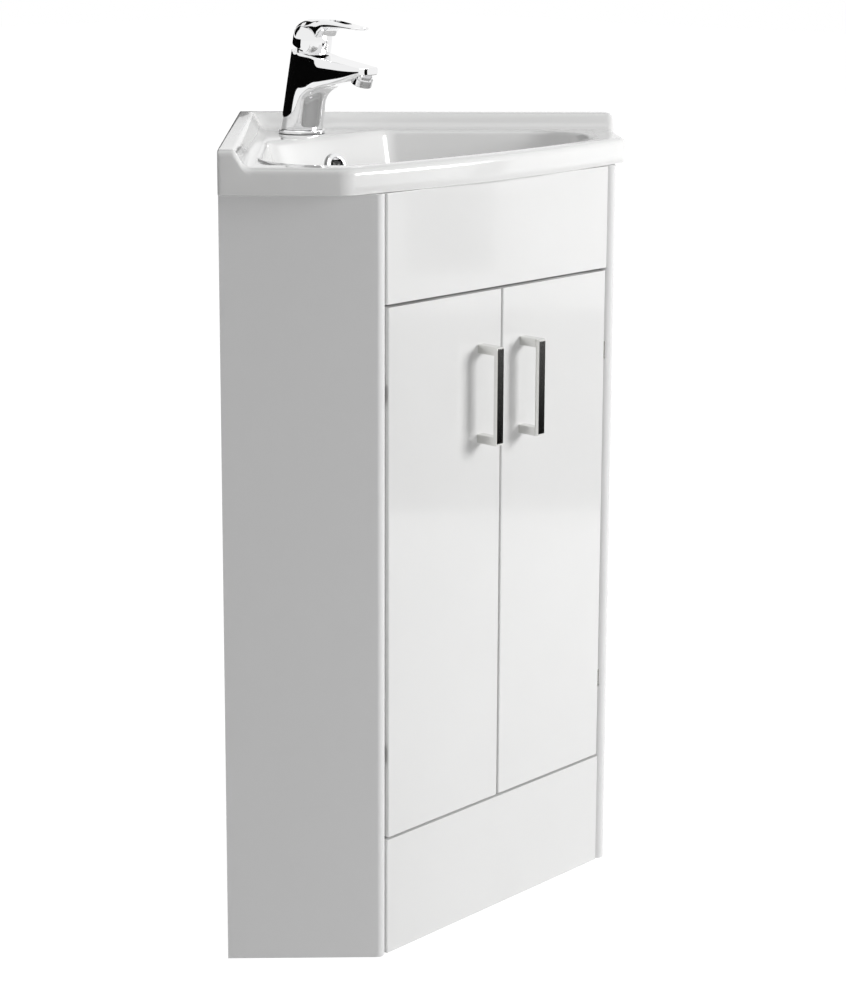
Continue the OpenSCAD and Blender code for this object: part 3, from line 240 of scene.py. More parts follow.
def paint(name, own):
    look = {**plainLook, **own}
    material = bpy.data.materials.new(name)
    material.use_nodes = True
    nodes, links = material.node_tree.nodes, material.node_tree.links
    shader = nodes["Principled BSDF"]
    shader.inputs["Metallic"].default_value = look["metal"]
    shader.inputs["Coat Weight"].default_value = look["coat"]
    shader.inputs["Coat Roughness"].default_value = look["coatRough"]
    spot = nodes.new("ShaderNodeTexCoord")
    spread = nodes.new("ShaderNodeMapping")
    spread.inputs["Scale"].default_value = look["stretch"]
    links.new(spot.outputs["Object"], spread.inputs["Vector"])

    def grain(scale, detail=3.0):
        noise = nodes.new("ShaderNodeTexNoise")
        noise.inputs["Scale"].default_value = scale
        noise.inputs["Detail"].default_value = detail
        links.new(spread.outputs["Vector"], noise.inputs["Vector"])
        return noise.outputs["Fac"]

    def ranged(source, low, high, start=grainRange[0], end=grainRange[1]):
        scale = nodes.new("ShaderNodeMapRange")
        scale.inputs["From Min"].default_value = start
        scale.inputs["From Max"].default_value = end
        scale.inputs["To Min"].default_value = low
        scale.inputs["To Max"].default_value = high
        links.new(source, scale.inputs["Value"])
        return scale.outputs["Result"]

    blend = nodes.new("ShaderNodeMix")
    blend.data_type = "RGBA"
    blend.inputs["A"].default_value = (*look["color"], 1)
    blend.inputs["B"].default_value = (*look["second"], 1)
    links.new(ranged(grain(look["toneScale"], look["toneDetail"]), 0, 1), blend.inputs["Factor"])
    tone = blend.outputs["Result"]
    if look["hollow"]:
        # painted shade: a round dark place painted inside the piece, standing in for the shade down
        # the overflow duct: its centre and its radius, in metres
        *centre, reach = look["hollow"]
        gap = nodes.new("ShaderNodeVectorMath")
        gap.operation = "DISTANCE"
        gap.inputs[1].default_value = centre
        links.new(spot.outputs["Object"], gap.inputs[0])
        holeShadeMix = nodes.new("ShaderNodeMix")
        holeShadeMix.data_type = "RGBA"
        holeShadeMix.inputs["A"].default_value = hollowTone
        links.new(ranged(gap.outputs["Value"], 0, 1, reach - hollowEdge, reach),
                  holeShadeMix.inputs["Factor"])
        links.new(tone, holeShadeMix.inputs["B"])
        tone = holeShadeMix.outputs["Result"]
    links.new(tone, shader.inputs["Base Color"])
    low, high = look["rough"]
    links.new(ranged(grain(look["roughScale"]), low, high), shader.inputs["Roughness"])
    if look["bump"]:
        raised = nodes.new("ShaderNodeBump")
        raised.inputs["Strength"].default_value = look["bump"]
        raised.inputs["Distance"].default_value = bumpDepth
        links.new(grain(look["bumpScale"], 2), raised.inputs["Height"])
        links.new(raised.outputs["Normal"], shader.inputs["Normal"])
    return material


looks = {
    "lacquered_front": {
        "color": (0.80, 0.80, 0.795), "second": (0.785, 0.785, 0.78), "rough": (0.10, 0.15),
        "toneScale": 5, "bump": 0.12, "bumpScale": 260, "coat": 0.4},
    "lacquered_panel": {
        "color": (0.80, 0.80, 0.80), "second": (0.799, 0.799, 0.799), "rough": (0.268, 0.272),
        "toneScale": 4},
    "coated_board": {
        "color": (0.72, 0.72, 0.71), "second": (0.64, 0.64, 0.63), "rough": (0.42, 0.52),
        "toneScale": 900, "toneDetail": 1, "bump": 0.25, "bumpScale": 700},
    "dowel_wood": {
        "color": (0.55, 0.36, 0.20), "second": (0.42, 0.25, 0.13), "rough": (0.55, 0.68),
        "stretch": (10, 10, 1), "toneScale": 90, "bump": 0.3, "bumpScale": 160},
    "white_plastic": {
        "color": (0.74, 0.74, 0.72), "second": (0.72, 0.72, 0.70), "rough": (0.34, 0.42),
        "toneScale": 30, "bump": 0.2, "bumpScale": 500},
    "handle_chrome": {
        "color": (0.72, 0.72, 0.70), "second": (0.70, 0.70, 0.685), "rough": (0.07, 0.11),
        "metal": 1, "toneScale": 12, "stretch": (1, 1, 0.1), "roughScale": 120},
    "polished_chrome": {
        "color": (0.86, 0.86, 0.865), "second": (0.85, 0.85, 0.855), "rough": (0.015, 0.035),
        "metal": 1, "toneScale": 10, "roughScale": 30},
    "screw_steel": {
        "color": (0.55, 0.55, 0.56), "second": (0.48, 0.48, 0.49), "rough": (0.25, 0.35),
        "metal": 1, "toneScale": 160, "roughScale": 200},
    "hinge_steel": {
        "color": (0.62, 0.61, 0.59), "second": (0.57, 0.56, 0.54), "rough": (0.18, 0.26),
        "metal": 1, "toneScale": 60, "roughScale": 90},
    "clamp_steel": {
        "color": (0.50, 0.50, 0.49), "second": (0.42, 0.43, 0.42), "rough": (0.35, 0.48),
        "metal": 1, "toneScale": 120, "toneDetail": 4, "bump": 0.2, "bumpScale": 400},
    "stem_brass": {
        "color": (0.70, 0.50, 0.22), "second": (0.64, 0.44, 0.18), "rough": (0.20, 0.30),
        "metal": 1, "toneScale": 40, "stretch": (1, 1, 12)},
    "bumper_pad": {
        "color": (0.62, 0.63, 0.63), "second": (0.58, 0.59, 0.59), "rough": (0.25, 0.33),
        "toneScale": 80},
    "seal_rubber": {
        "color": (0.030, 0.030, 0.031), "second": (0.022, 0.022, 0.023), "rough": (0.55, 0.68),
        "toneScale": 90, "bump": 0.3, "bumpScale": 500},
    "cartridge_plastic": {
        "color": (0.72, 0.70, 0.62), "second": (0.69, 0.67, 0.59), "rough": (0.38, 0.46),
        "toneScale": 50, "bump": 0.15, "bumpScale": 500},
    "glazed_ceramic": {
        "color": (0.83, 0.83, 0.825), "second": (0.815, 0.815, 0.81), "rough": (0.10, 0.14),
        "toneScale": 3.5, "bump": 0.06, "bumpScale": 60, "coat": 0.6, "coatRough": 0.02,
        # painted shade inside the overflow hole: centre and radius, in metres
        "hollow": (0, 0.0651, 0.7961, 0.014)},
}
finishes = {name: paint(name, look) for name, look in looks.items()}
nodeSlots = {part["node"]: part["material_slot"] for part in frame["record"]["subparts"]}
for node, obj in frame["nodes"].items():
    obj.data.materials.clear()
    obj.data.materials.append(finishes[nodeSlots[node]])
print("finishes:", len(finishes))


# basin: one closed loop of rings, from the waste hole up the bowl, over the rim, back under

basinSizes = {
    "side": 430.0, "front": 415.037, "splay": 2.3, "frontRadius": 1400.0, "cornerRadius": 28.0,
    "leastRadius": 2.0, "wallEndRadius": 4.0, "leastEndRadius": 0.05, "backRound": 2.0,
    "rimRadius": 8.0, "sidePace": 0.8, "frontPace": 0.36, "valley": 2.5,
    "deck": 832.0, "bottom": 805.2, "ceiling": 820.0,
    "band": 30.0, "bandSide": 27.0, "bandFront": 22.8,
    "bowlSide": 41.0, "bowlBack": 150.0, "bowlFront": 27.0, "bowlCorner": 70.0,
    "bowlBackRadius": 22.0, "bowlLean": 16.0, "edgeDepth": 6.0, "floor": 722.0,
    "floorFillet": 36.0, "wall": 10.0, "shellFront": -3.4,
    "waste": 268.0, "wasteHole": 23.0, "wasteSeat": 31.5, "boss": 34.0, "bossBottom": 700.0,
    "tap": 104.0, "tapHole": 17.5,
    "overflowV": 159.75, "overflowZ": 798.0, "overflowTilt": 74.0, "overflowHole": 11.5,
    "ductOuter": 10.0, "ductBore": 6.0,
}
# the upstand along the walls: (distance from the wall, height over the deck), and the
# distances at which the section is drawn
upstandSection = ((8, 18), (13, 18), (15, 17.9), (16.5, 17.0), (18.9, 13.9), (21.4, 9.8),
                  (23.9, 5.6), (27.2, 2.2), (30.5, 0.5), (34, 0), (38, 0))
upstandSteps = (34, 31.5, 29.2, 27.2, 25.4, 23.9, 22.6, 21.4, 20.2, 19, 18, 17, 16, 15, 13, 8)
upstandTop, upstandFoot = upstandSection[0][0], upstandSection[-1][0]
# the bowl's rounded edge: (inset from the bowl's wall, height from the deck)
bowlEdge = ((-0.4, -4.7), (-1.2, -3.2), (-2.4, -1.8), (-3.8, -0.8), (-5.3, -0.2), (-6.8, 0))
wallLevels = (-72, -58, -44, -31, -19, -12, -6)
shellLevels = (-12, -16, -24, -34, -46, -60, -72)
filletAngles = (0, 7, 15, 23, 31, 39, 47, 55, 63, 69, 74)
rimAngles = (90, 78, 66, 54, 42, 30, 18, 8, 0)
# (out from the waste hole, up from the floor) and (in from the skirt, up from its foot)
wasteEdge = ((0, -1), (0.4, -0.3), (1.2, 0))
skirtEdge = ((0, 12), (0, 1.2), (0.35, 0.35), (1.2, 0))
# both outlines have 140 points from the middle of the back to the middle of the front, shared
# out so that points with the same number stand across from each other
outerPoints = {"wall": 70, "wallEnd": 7, "side": 10, "corner": 15, "front": 22}
bowlPoints = {"back": 12, "backCorner": 8, "side": 40, "corner": 60, "front": 21}


def cornerCentre(dist, angle, r, arcRadius):
    # centre of an arc that touches a straight side and the bowed front
    b = basinSizes
    frontCentre = b["front"] - b["frontRadius"]
    n = (math.cos(math.radians(angle)), math.sin(math.radians(angle)))
    m = (n[1], -n[0])
    w = (n[0] * (dist - r), n[1] * (dist - r) - frontCentre)
    h = w[0] * m[0] + w[1] * m[1]
    c = w[0] ** 2 + w[1] ** 2 - (arcRadius - r) ** 2
    t = -h + math.sqrt(h * h - c)
    return n[0] * (dist - r) + m[0] * t, n[1] * (dist - r) + m[1] * t


def outerHalf(wallIn, sideIn, frontIn):
    b, points = basinSizes, outerPoints
    frontCentre = b["front"] - b["frontRadius"]
    angle = 135 + b["splay"]
    dist = b["side"] * math.cos(math.radians(b["splay"])) - sideIn
    arcRadius = b["frontRadius"] - frontIn
    r = max(b["cornerRadius"] - min(sideIn, frontIn), b["leastRadius"])
    c = cornerCentre(dist, angle, r, arcRadius)
    turn = math.degrees(math.atan2(c[1] - frontCentre, c[0]))
    e = max(b["wallEndRadius"] - max(wallIn, sideIn), b["leastEndRadius"])
    n1 = (math.cos(math.radians(225)), math.sin(math.radians(225)))
    n2 = (math.cos(math.radians(angle)), math.sin(math.radians(angle)))
    d1, d2 = -wallIn - e, dist - e
    det = n1[0] * n2[1] - n1[1] * n2[0]
    k = ((d1 * n2[1] - n1[1] * d2) / det, (n1[0] * d2 - d1 * n2[0]) / det)
    wallArc = arc(k[0], k[1], e, 225, angle, points["wallEnd"])
    frontArc = arc(c[0], c[1], r, angle, turn, points["corner"])
    # along the side, points stand close together where the upstand's section runs out
    first, last = wallArc[-1], frontArc[0]
    start, end = (sum(first) / math.sqrt(2), sum(last) / math.sqrt(2))
    side = []
    for distance in (*reversed(upstandSteps), upstandFoot):
        t = min(1, max(0, (distance - start) / (end - start)))
        side.append((mix(first[0], last[0], t), mix(first[1], last[1], t)))
    back = between((0, wallIn * math.sqrt(2)), wallArc[0], points["wall"], first=True)
    return (back + wallArc + side + between(side[-1], last, points["side"]) + frontArc
            + arc(0, frontCentre, arcRadius, turn, 90, points["front"])[1:])


def bowlHalf(inset, frontLimit=None):
    # frontLimit is the furthest out that the front may come
    b, points = basinSizes, bowlPoints
    frontCentre = b["front"] - b["frontRadius"]
    frontInset = inset if frontLimit is None else max(inset, frontLimit)
    arcRadius = b["frontRadius"] - b["bowlFront"] - frontInset
    r = b["bowlCorner"] - frontInset
    c = cornerCentre(-b["bowlSide"] - inset, 225, r, arcRadius)
    turn = math.degrees(math.atan2(c[1] - frontCentre, c[0]))
    back = b["bowlBackRadius"]
    side, v = b["bowlSide"] + inset + back, b["bowlBack"] + inset + back
    backArc = arc(-abs(side * math.sqrt(2) - v), v, back, 270, 225, points["backCorner"])
    cornerArc = arc(c[0], c[1], r, 225, turn, points["corner"])
    return (between((0, b["bowlBack"] + inset), backArc[0], points["back"], first=True) + backArc
            + between(backArc[-1], cornerArc[0], points["side"]) + cornerArc
            + arc(0, frontCentre, arcRadius, turn, 90, points["front"])[1:])


def circleHalf(r, guide):
    # a circle round the waste, each point towards its fellow on guide
    v = basinSizes["waste"]
    points = []
    for gu, gv in guide:
        angle = math.atan2(gv - v, gu)
        points.append((r * math.cos(angle), v + r * math.sin(angle)))
    return points


def rimHeight(u, v):
    b = basinSizes
    u = -abs(u)
    near, far = (u + v) / math.sqrt(2), (v - u) / math.sqrt(2)
    soft = b["valley"]
    inward = -soft * math.log(math.exp(-near / soft) + math.exp(-far / soft))
    top = b["deck"] + along(upstandSection, min(upstandFoot, max(upstandTop, inward)))
    back = b["backRound"]
    if near < back:
        top -= back - math.sqrt(max(0, back ** 2 - (back - near) ** 2))
    frontCentre = b["front"] - b["frontRadius"]
    angle = math.radians(135 + b["splay"])
    dist = b["side"] * math.cos(math.radians(b["splay"]))
    c = cornerCentre(dist, 135 + b["splay"], b["cornerRadius"], b["frontRadius"])
    sideGap = dist - (u * math.cos(angle) + v * math.sin(angle))
    frontGap = b["frontRadius"] - math.hypot(u, v - frontCentre)
    gap = min(sideGap, frontGap)
    bearing = math.atan2(v - c[1], u - c[0])
    if math.atan2(c[1] - frontCentre, c[0]) < bearing < angle:
        gap = b["cornerRadius"] - math.hypot(u - c[0], v - c[1])
    r = b["rimRadius"]
    if gap < r:
        top -= r - math.sqrt(max(0, r * r - (r - gap) ** 2))
    return top


def basinRing(half, height):
    # the left half and its mirror image, at one height or at height(u, v)
    whole = half + [(-u, v) for u, v in reversed(half[1:-1])]
    return [place(u, v, height(u, v) if callable(height) else height) for u, v in whole]


def basinRings():
    b = basinSizes
    deck, floor, bottom = b["deck"], b["floor"], b["bottom"]
    rim, wall, fillet = b["rimRadius"], b["wall"], b["floorFillet"]
    lean = math.radians(b["bowlLean"])
    centreZ = floor - deck + fillet
    centreIn = (-centreZ - b["edgeDepth"]) * math.tan(lean) + fillet / math.cos(lean)
    angles = [math.radians(a) for a in filletAngles]
    guide = bowlHalf(centreIn)
    seat, hole = circleHalf(b["wasteSeat"], guide), circleHalf(b["wasteHole"], guide)
    boss = circleHalf(b["boss"], guide)
    middle = [(mix(p[0], q[0], 0.5), mix(p[1], q[1], 0.5)) for p, q in zip(seat, guide)]
    # the waste hole, its eased edge and the floor
    rings = []
    for out, up in wasteEdge:
        rings.append(basinRing(circleHalf(b["wasteHole"] + out, guide), floor + up))
    rings += [basinRing(seat, floor), basinRing(middle, floor)]
    # up the bowl and over its edge
    for a in angles:
        rings.append(basinRing(bowlHalf(centreIn - fillet * math.sin(a)),
                               deck + centreZ - fillet * math.cos(a)))
    for z in wallLevels:
        rings.append(basinRing(bowlHalf((-z - b["edgeDepth"]) * math.tan(lean)), deck + z))
    for inset, z in bowlEdge:
        rings.append(basinRing(bowlHalf(inset), deck + z))
    # the deck, the upstand and the outer rim
    for w in upstandSteps[:-1]:
        rings.append(basinRing(outerHalf(w, rim + b["sidePace"] * (w - rim),
                                         rim + b["frontPace"] * (w - rim)), rimHeight))
    for t in rimAngles:
        w = rim * (1 - math.cos(math.radians(t)))
        rings.append(basinRing(outerHalf(w, w, w), rimHeight))
    # the skirt with its lower edge eased, and the band behind it
    for inset, up in skirtEdge:
        rings.append(basinRing(outerHalf(0, inset, inset), bottom + up))
    band = outerHalf(b["band"], b["bandSide"], b["bandFront"])
    rings.append(basinRing(band, bottom))
    rings.append(basinRing(band, b["ceiling"]))
    # down the bowl's underside to the boss round the waste
    lift, draw = wall * math.sin(lean), wall * math.cos(lean)
    for z in shellLevels:
        inset = (-(z + lift) - b["edgeDepth"]) * math.tan(lean) - draw
        rings.append(basinRing(bowlHalf(inset, b["shellFront"]), deck + z))
    reach = fillet + wall
    for a in reversed(angles):
        rings.append(basinRing(bowlHalf(centreIn - reach * math.sin(a), b["shellFront"]),
                               deck + centreZ - reach * math.cos(a)))
    for half, z in ((boss, floor - wall), (boss, b["bossBottom"]),
                    (hole, b["bossBottom"]), (hole, floor + wasteEdge[0][1])):
        rings.append(basinRing(half, z))
    return rings


def ductTube(radius, points, steps=32):
    # a tube, square to its run and mitred at the bend
    spots = [place(*p) for p in points]
    runs = [(q - p).normalized() for p, q in zip(spots, spots[1:])]
    headings = [(p + q).normalized() for p, q in zip([runs[0], *runs], [*runs, runs[-1]])]
    across = Vector((1, 0, 0))
    turns = [2 * math.pi * k / steps for k in range(steps)]
    rings = [[spots[0]] * steps]
    for i, (spot, heading) in enumerate(zip(spots, headings)):
        upward = heading.cross(across).normalized()
        run = runs[i - 1] if i else heading
        stretch = 1 / max(0.3, heading.dot(run))
        rings.append([spot + across * (radius * mm * math.cos(a))
                      + upward * (radius * mm * stretch * math.sin(a)) for a in turns])
    rings.append([spots[-1]] * steps)
    return ringBody(rings)


basin = ringBody(basinRings())
overflowFrame = (standing(0, basinSizes["overflowV"], basinSizes["overflowZ"])
                 @ Matrix.Rotation(math.radians(basinSizes["overflowTilt"]), 4, "X"))
# the duct from behind the overflow down to the boss; its wall starts in the deck, its bore
# in the hole, and the bore runs on into the waste
ductBend, ductZ = (0, 158, 712), 711.5
cut(basin, ductTube(basinSizes["ductOuter"], [(0, 137.8, 812), ductBend, (0, 236, ductZ)]), "UNION")
cut(basin, drill(basinSizes["overflowHole"], -14, 6, overflowFrame))
cut(basin, ductTube(basinSizes["ductBore"], [(0, 140, 801), ductBend, (0, 248, ductZ)]))
cut(basin, drill(basinSizes["tapHole"], 800, 840, standing(0, basinSizes["tap"], 0)))
settle(basin, merge=0.000005)
smooth(basin, angle=32)
dress(basin, "basinGlazed", "cabinet", "glazed_ceramic", "basin")
print("basin:", len(basin.data.polygons), "faces")


# mixer body: a leaning round cage, its front drawn out to the spout

mixerSizes = {
    "pivotV": 122.58, "pivotZ": 937.37, "lean": 10.0, "footZ": 836.8, "footRadius": 24.0,
    "topRadius": 22.0, "topW": -13.5, "sides": 16, "levels": (0, 0.20, 0.42, 0.62, 0.82, 1),
    "boreRadius": 18.0, "boreBottom": -44.0, "boreTop": 8.0,
    "rootHalfWidth": 21.0, "tipHalfWidth": 14.5, "spoutLength": 88.5, "taper": 0.8,
    "noseRound": 1.2, "noseStart": 192.0, "noseLength": 15.0, "crease": 0.75, "creaseAngle": 0.9,
    "belly": ((0, 0.93), (0.33, 1.03), (0.67, 1.03), (1, 0.96)),
}
leanFrame = (standing(0, mixerSizes["pivotV"], mixerSizes["pivotZ"])
             @ Matrix.Rotation(math.radians(mixerSizes["lean"]), 4, "X"))
# the spout from the body to its tip: (v, z) of the underside and (v, z) of the top
spoutStations = (
    ((136.5, 880.5), (148, 918.5)),
    ((143.0, 884.6), (154, 917.7)),
    ((151.5, 887.2), (162, 916.6)),
    ((163.0, 889.6), (172, 915.3)),
    ((176.5, 891.9), (182, 913.9)),
    ((189.6, 894.6), (192, 912.6)),
    ((203.0, 899.5), (204.5, 910.9)),
    ((210.9, 902.1), (211.1, 910.0)),
)
spoutRows = 4                       # the cage's upper rings, from which the spout is drawn
spoutSpread = (0, 0.42, 0.80, 1)    # from the spout's middle to its side, column by column


def mixerCage():
    s = mixerSizes
    # the cage stands outside the round that its subdivision gives
    swell = 3 / (2 + math.cos(2 * math.pi / s["sides"]))
    lean = math.radians(s["lean"])
    foot, top = s["footRadius"] * swell, s["topRadius"] * swell
    rings = []
    for t in s["levels"]:
        ring = []
        for k in range(s["sides"]):
            a = 2 * math.pi * k / s["sides"]
            low = (foot * math.sin(a), basinSizes["tap"] + foot * math.cos(a), s["footZ"])
            high = (top * math.sin(a),
                    s["pivotV"] + s["topW"] * math.sin(lean) + top * math.cos(a) * math.cos(lean),
                    s["pivotZ"] + s["topW"] * math.cos(lean) - top * math.cos(a) * math.sin(lean))
            ring.append(place(*[mix(p, q, t) for p, q in zip(low, high)]))
        rings.append(ring)
    cage = ringBody(rings)
    startEdit(cage, "EDGE")
    bpy.ops.mesh.select_all(action="DESELECT")
    bpy.ops.mesh.select_non_manifold()
    bpy.ops.mesh.edge_face_add()
    endEdit()
    return cage, rings


def spoutHalf(v):
    s = mixerSizes
    t = min(1.0, max(0.0, (v - s["pivotV"]) / s["spoutLength"]))
    return s["rootHalfWidth"] + (s["tipHalfWidth"] - s["rootHalfWidth"]) * t ** s["taper"]


def spotKey(point):
    return tuple(round(c, 6) for c in point)


def drawSpout(cage, rings):
    s = mixerSizes
    columns = {}
    reach = len(spoutSpread) - 1
    for row, ring in enumerate(rings[-spoutRows:]):
        for step in range(-reach, reach + 1):
            columns[spotKey(ring[step % s["sides"]])] = (step, row / (spoutRows - 1))
    startEdit(cage, "FACE")
    bpy.ops.mesh.select_all(action="DESELECT")
    mesh = bmesh.from_edit_mesh(cage.data)
    for face in mesh.faces:
        keys = [spotKey(v.co) for v in face.verts]
        face.select_set(len(keys) == 4 and all(key in columns for key in keys))
    bmesh.update_edit_mesh(cage.data)
    for (lowV, lowZ), (highV, highZ) in spoutStations:
        bpy.ops.mesh.extrude_region_move()
        mesh = bmesh.from_edit_mesh(cage.data)
        following = {}
        for vert in mesh.verts:
            if not vert.select:
                continue
            step, row = columns[spotKey(vert.co)]
            v, z = mix(lowV, highV, row), mix(lowZ, highZ, row)
            side = math.copysign(spoutSpread[abs(step)], step)
            v -= s["noseRound"] * side * side * ease((v - s["noseStart"]) / s["noseLength"])
            vert.co = place(spoutHalf(v) * side * along(s["belly"], row), v, z)
            following[spotKey(vert.co)] = (step, row)
        columns = following
        bmesh.update_edit_mesh(cage.data)
    # hold the spout's four long edges, the end facet and the top rim
    bpy.ops.mesh.select_mode(type="EDGE")
    mesh = bmesh.from_edit_mesh(cage.data)
    for edge in mesh.edges:
        edge.select_set(False)
    mesh.normal_update()
    for edge in mesh.edges:
        faces = edge.link_faces
        if len(faces) == 2 and faces[0].normal.angle(faces[1].normal) > s["creaseAngle"]:
            edge.select_set(True)
    bmesh.update_edit_mesh(cage.data)
    bpy.ops.transform.edge_crease(value=s["crease"])
    endEdit()


body, bodyRings = mixerCage()
drawSpout(body, bodyRings)
applyModifier(body, "SUBSURF", levels=3, render_levels=3)
cut(body, drill(mixerSizes["boreRadius"], mixerSizes["boreBottom"], mixerSizes["boreTop"],
                leanFrame, 72))
settle(body, merge=0.000003)
smooth(body, angle=30)
dress(body, "mixerBody", "cabinet", "polished_chrome", "tap_body")
print("mixer body:", len(body.data.polygons), "faces")


# mixer lever: a turned dome and a hood that runs from its rear over the top to the tip

leverSizes = {
    "hub": 22.0, "wall": 1.8, "frontBottom": -12.0, "rearBottom": -6.0, "strap": 0.9,
    "strapIn": 1.0, "rearAngle": 168.0, "topAngle": 96.0, "rearHalfWidth": 11.5,
    "rearSteps": 12, "rearRound": 0.45,
    "topHalfWidth": 16.0, "length": 83.0, "tipRadius": 12.0, "curl": 30.0, "crown": 0.5,
    "cornerPower": 0.34, "slotCentre": 44.0, "slotLength": 31.0, "slotWidth": 11.0,
    "indicatorHole": 3.2, "indicatorTilt": 84.0,
}
# the blade from the pivot to the tip: (distance, height) of its top and underside, and
# (distance, half width); then the distances at which it is drawn
bladeTop = ((-2, 22.8), (8, 23.0), (18, 23.2), (30, 22.5), (45, 20.9), (58, 18.8), (69, 17.3),
            (83, 16.2))
bladeUnder = ((-2, 20.6), (4, 19.9), (8, 18.7), (12, 16.6), (16, 12.8), (19, 7.5), (21, 4.5),
              (24, 8.2), (30, 12.2), (38, 14.2), (50, 14.8), (62, 14.8), (72, 14.2), (83, 13.4))
bladeHalf = ((-2, 16.2), (8, 16.8), (24, 16.0), (39, 14.0), (60, 12.4), (71, 12.0))
bladeStations = (-2, 1, 4, 7, 10, 13, 16, 18, 19.5, 21, 22.5, 24, 27, 30, 34, 38, 42, 47, 52, 57,
                 62, 66, 70, 73, 75.5, 77.8, 79.6, 81, 82, 82.6, 82.9)


def domeShell(steps=80):
    s = leverSizes

    def ring(r, w):
        points = []
        for k in range(steps):
            a = 2 * math.pi * k / steps
            height = w(a) if callable(w) else w
            points.append(leanFrame @ Vector((r * mm * math.sin(a), -r * mm * math.cos(a),
                                              height * mm)))
        return points

    def dome(r, degrees):
        # 1e-6 mm keeps the topmost ring open until its points are merged
        a = math.radians(degrees)
        return ring(r * math.cos(a) + 1e-6, r * math.sin(a))

    def lip(a):
        return mix(s["rearBottom"], s["frontBottom"], (1 + math.cos(a)) / 2)

    # down the inside, round the lip and up the outside
    inner, outer = s["hub"] - s["wall"], s["hub"]
    rings = [dome(inner, a) for a in range(90, -1, -15)]
    rings.append(ring(inner, lambda a: lip(a) * 0.5))
    rings.append(ring(inner, lip))
    rings.append(ring(outer - 0.5, lip))
    rings.append(ring(outer - 0.12, lambda a: lip(a) + 0.15))
    rings.append(ring(outer, lambda a: lip(a) + 0.5))
    rings.append(ring(outer, lambda a: lip(a) * 0.5))
    rings += [dome(outer, a) for a in range(0, 91, 6)]
    return ringBody(rings)


def hoodSection(count=40):
    # unit rounded rectangle, clockwise from the top's middle
    power = leverSizes["cornerPower"]
    points = []
    for k in range(count):
        a = 2 * math.pi * k / count
        x, y = math.sin(a), math.cos(a)
        points.append((math.copysign(abs(x) ** power, x), math.copysign(abs(y) ** power, y)))
    return points


def centreOf(ring):
    return sum(ring, Vector()) / len(ring)


def leverHood():
    s = leverSizes
    section = hoodSection()
    pivot = place(0, mixerSizes["pivotV"], mixerSizes["pivotZ"])
    ball = s["hub"] + s["strap"]
    rings = []
    # the rear, on the dome, its end rounded over three sections
    for i in range(s["rearSteps"] + 1):
        t = i / s["rearSteps"]
        angle = math.radians(mix(s["rearAngle"], s["topAngle"], t))
        half = mix(s["rearHalfWidth"], s["topHalfWidth"], math.sin(t * math.pi / 2))
        half -= max(0, 3 - i) ** 2 * s["rearRound"]
        ring = []
        for x, y in section:
            r = s["hub"] + mix(-s["strapIn"], s["strap"], (y + 1) / 2)
            side = math.asin(min(1, half * x / ball))
            ring.append(pivot + Vector((r * math.sin(side), -r * math.cos(side) * math.cos(angle),
                                        r * math.cos(side) * math.sin(angle))) * mm)
        rings.append(ring)
    # over the top and along the blade
    tip = s["length"] - s["tipRadius"]
    for front in bladeStations:
        top, under = along(bladeTop, front), along(bladeUnder, front)
        half = along(bladeHalf, min(front, tip))
        if front > tip:
            half = math.sqrt(max(0.3, s["tipRadius"] ** 2 - (front - tip) ** 2))
        curl = 1 - ease(front / s["curl"])
        ring = []
        for x, y in section:
            side = half * x
            sag = ball - math.sqrt(max(1, ball * ball - side * side))
            crown = s["crown"] * x * x * (1 - curl)
            height = mix(under, top, (y + 1) / 2) - sag * curl - crown
            ring.append(pivot + Vector((side, -front, height)) * mm)
        rings.append(ring)
    rings.insert(0, [centreOf(rings[0])] * len(section))
    rings.append([centreOf(rings[-1])] * len(section))
    return ringBody(rings)


def slotCutter(height=40):
    s = leverSizes
    middle, r = s["slotCentre"], s["slotWidth"] / 2
    run = (s["slotLength"] - s["slotWidth"]) / 2
    outline = arc(0, middle + run, r, 0, 180, 17) + arc(0, middle - run, r, 180, 360, 17)
    centre = [(0, middle)] * len(outline)
    pivotV, pivotZ = mixerSizes["pivotV"], mixerSizes["pivotZ"]
    rings = []
    for points, z in ((centre, 0), (outline, 0), (outline, height), (centre, height)):
        rings.append([place(u, pivotV + f, pivotZ + z) for u, f in points])
    return ringBody(rings)


hood = leverHood()
cut(hood, slotCutter())
smooth(hood, 40)
lever = domeShell()
indicatorFrame = (leanFrame @ Matrix.Rotation(math.radians(leverSizes["indicatorTilt"]), 4, "X")
                  @ Matrix.Translation((0, 0, leverSizes["hub"] * mm)))
cut(lever, drill(leverSizes["indicatorHole"], -9, 3, indicatorFrame, 40))
smooth(lever, 30)
join(lever, hood)
dress(lever, "mixerLever", "mixer_lever", "polished_chrome", "tap_lever")
cap = turned([(0, -2.2), (3.1, -2.2), (3.1, 0.05), (2.9, 0.35), (2.3, 0.6), (1.2, 0.75), (0, 0.8)],
             indicatorFrame, 40)
smooth(cap)
dress(cap, "leverIndicator", "mixer_lever", "polished_chrome", "tap_indicator")
print("lever:", len(lever.data.polygons), "faces")


# small turned pieces, all in polished chrome

plugLow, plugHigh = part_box("waste_plug")
plugRadius = (plugHigh.x - plugLow.x) / 2 / mm
plugBottom, plugTop = plugLow.z / mm, plugHigh.z / mm
aeratorFrame = standing(0, 201.82, 899.08) @ Matrix.Rotation(math.radians(200), 4, "X")
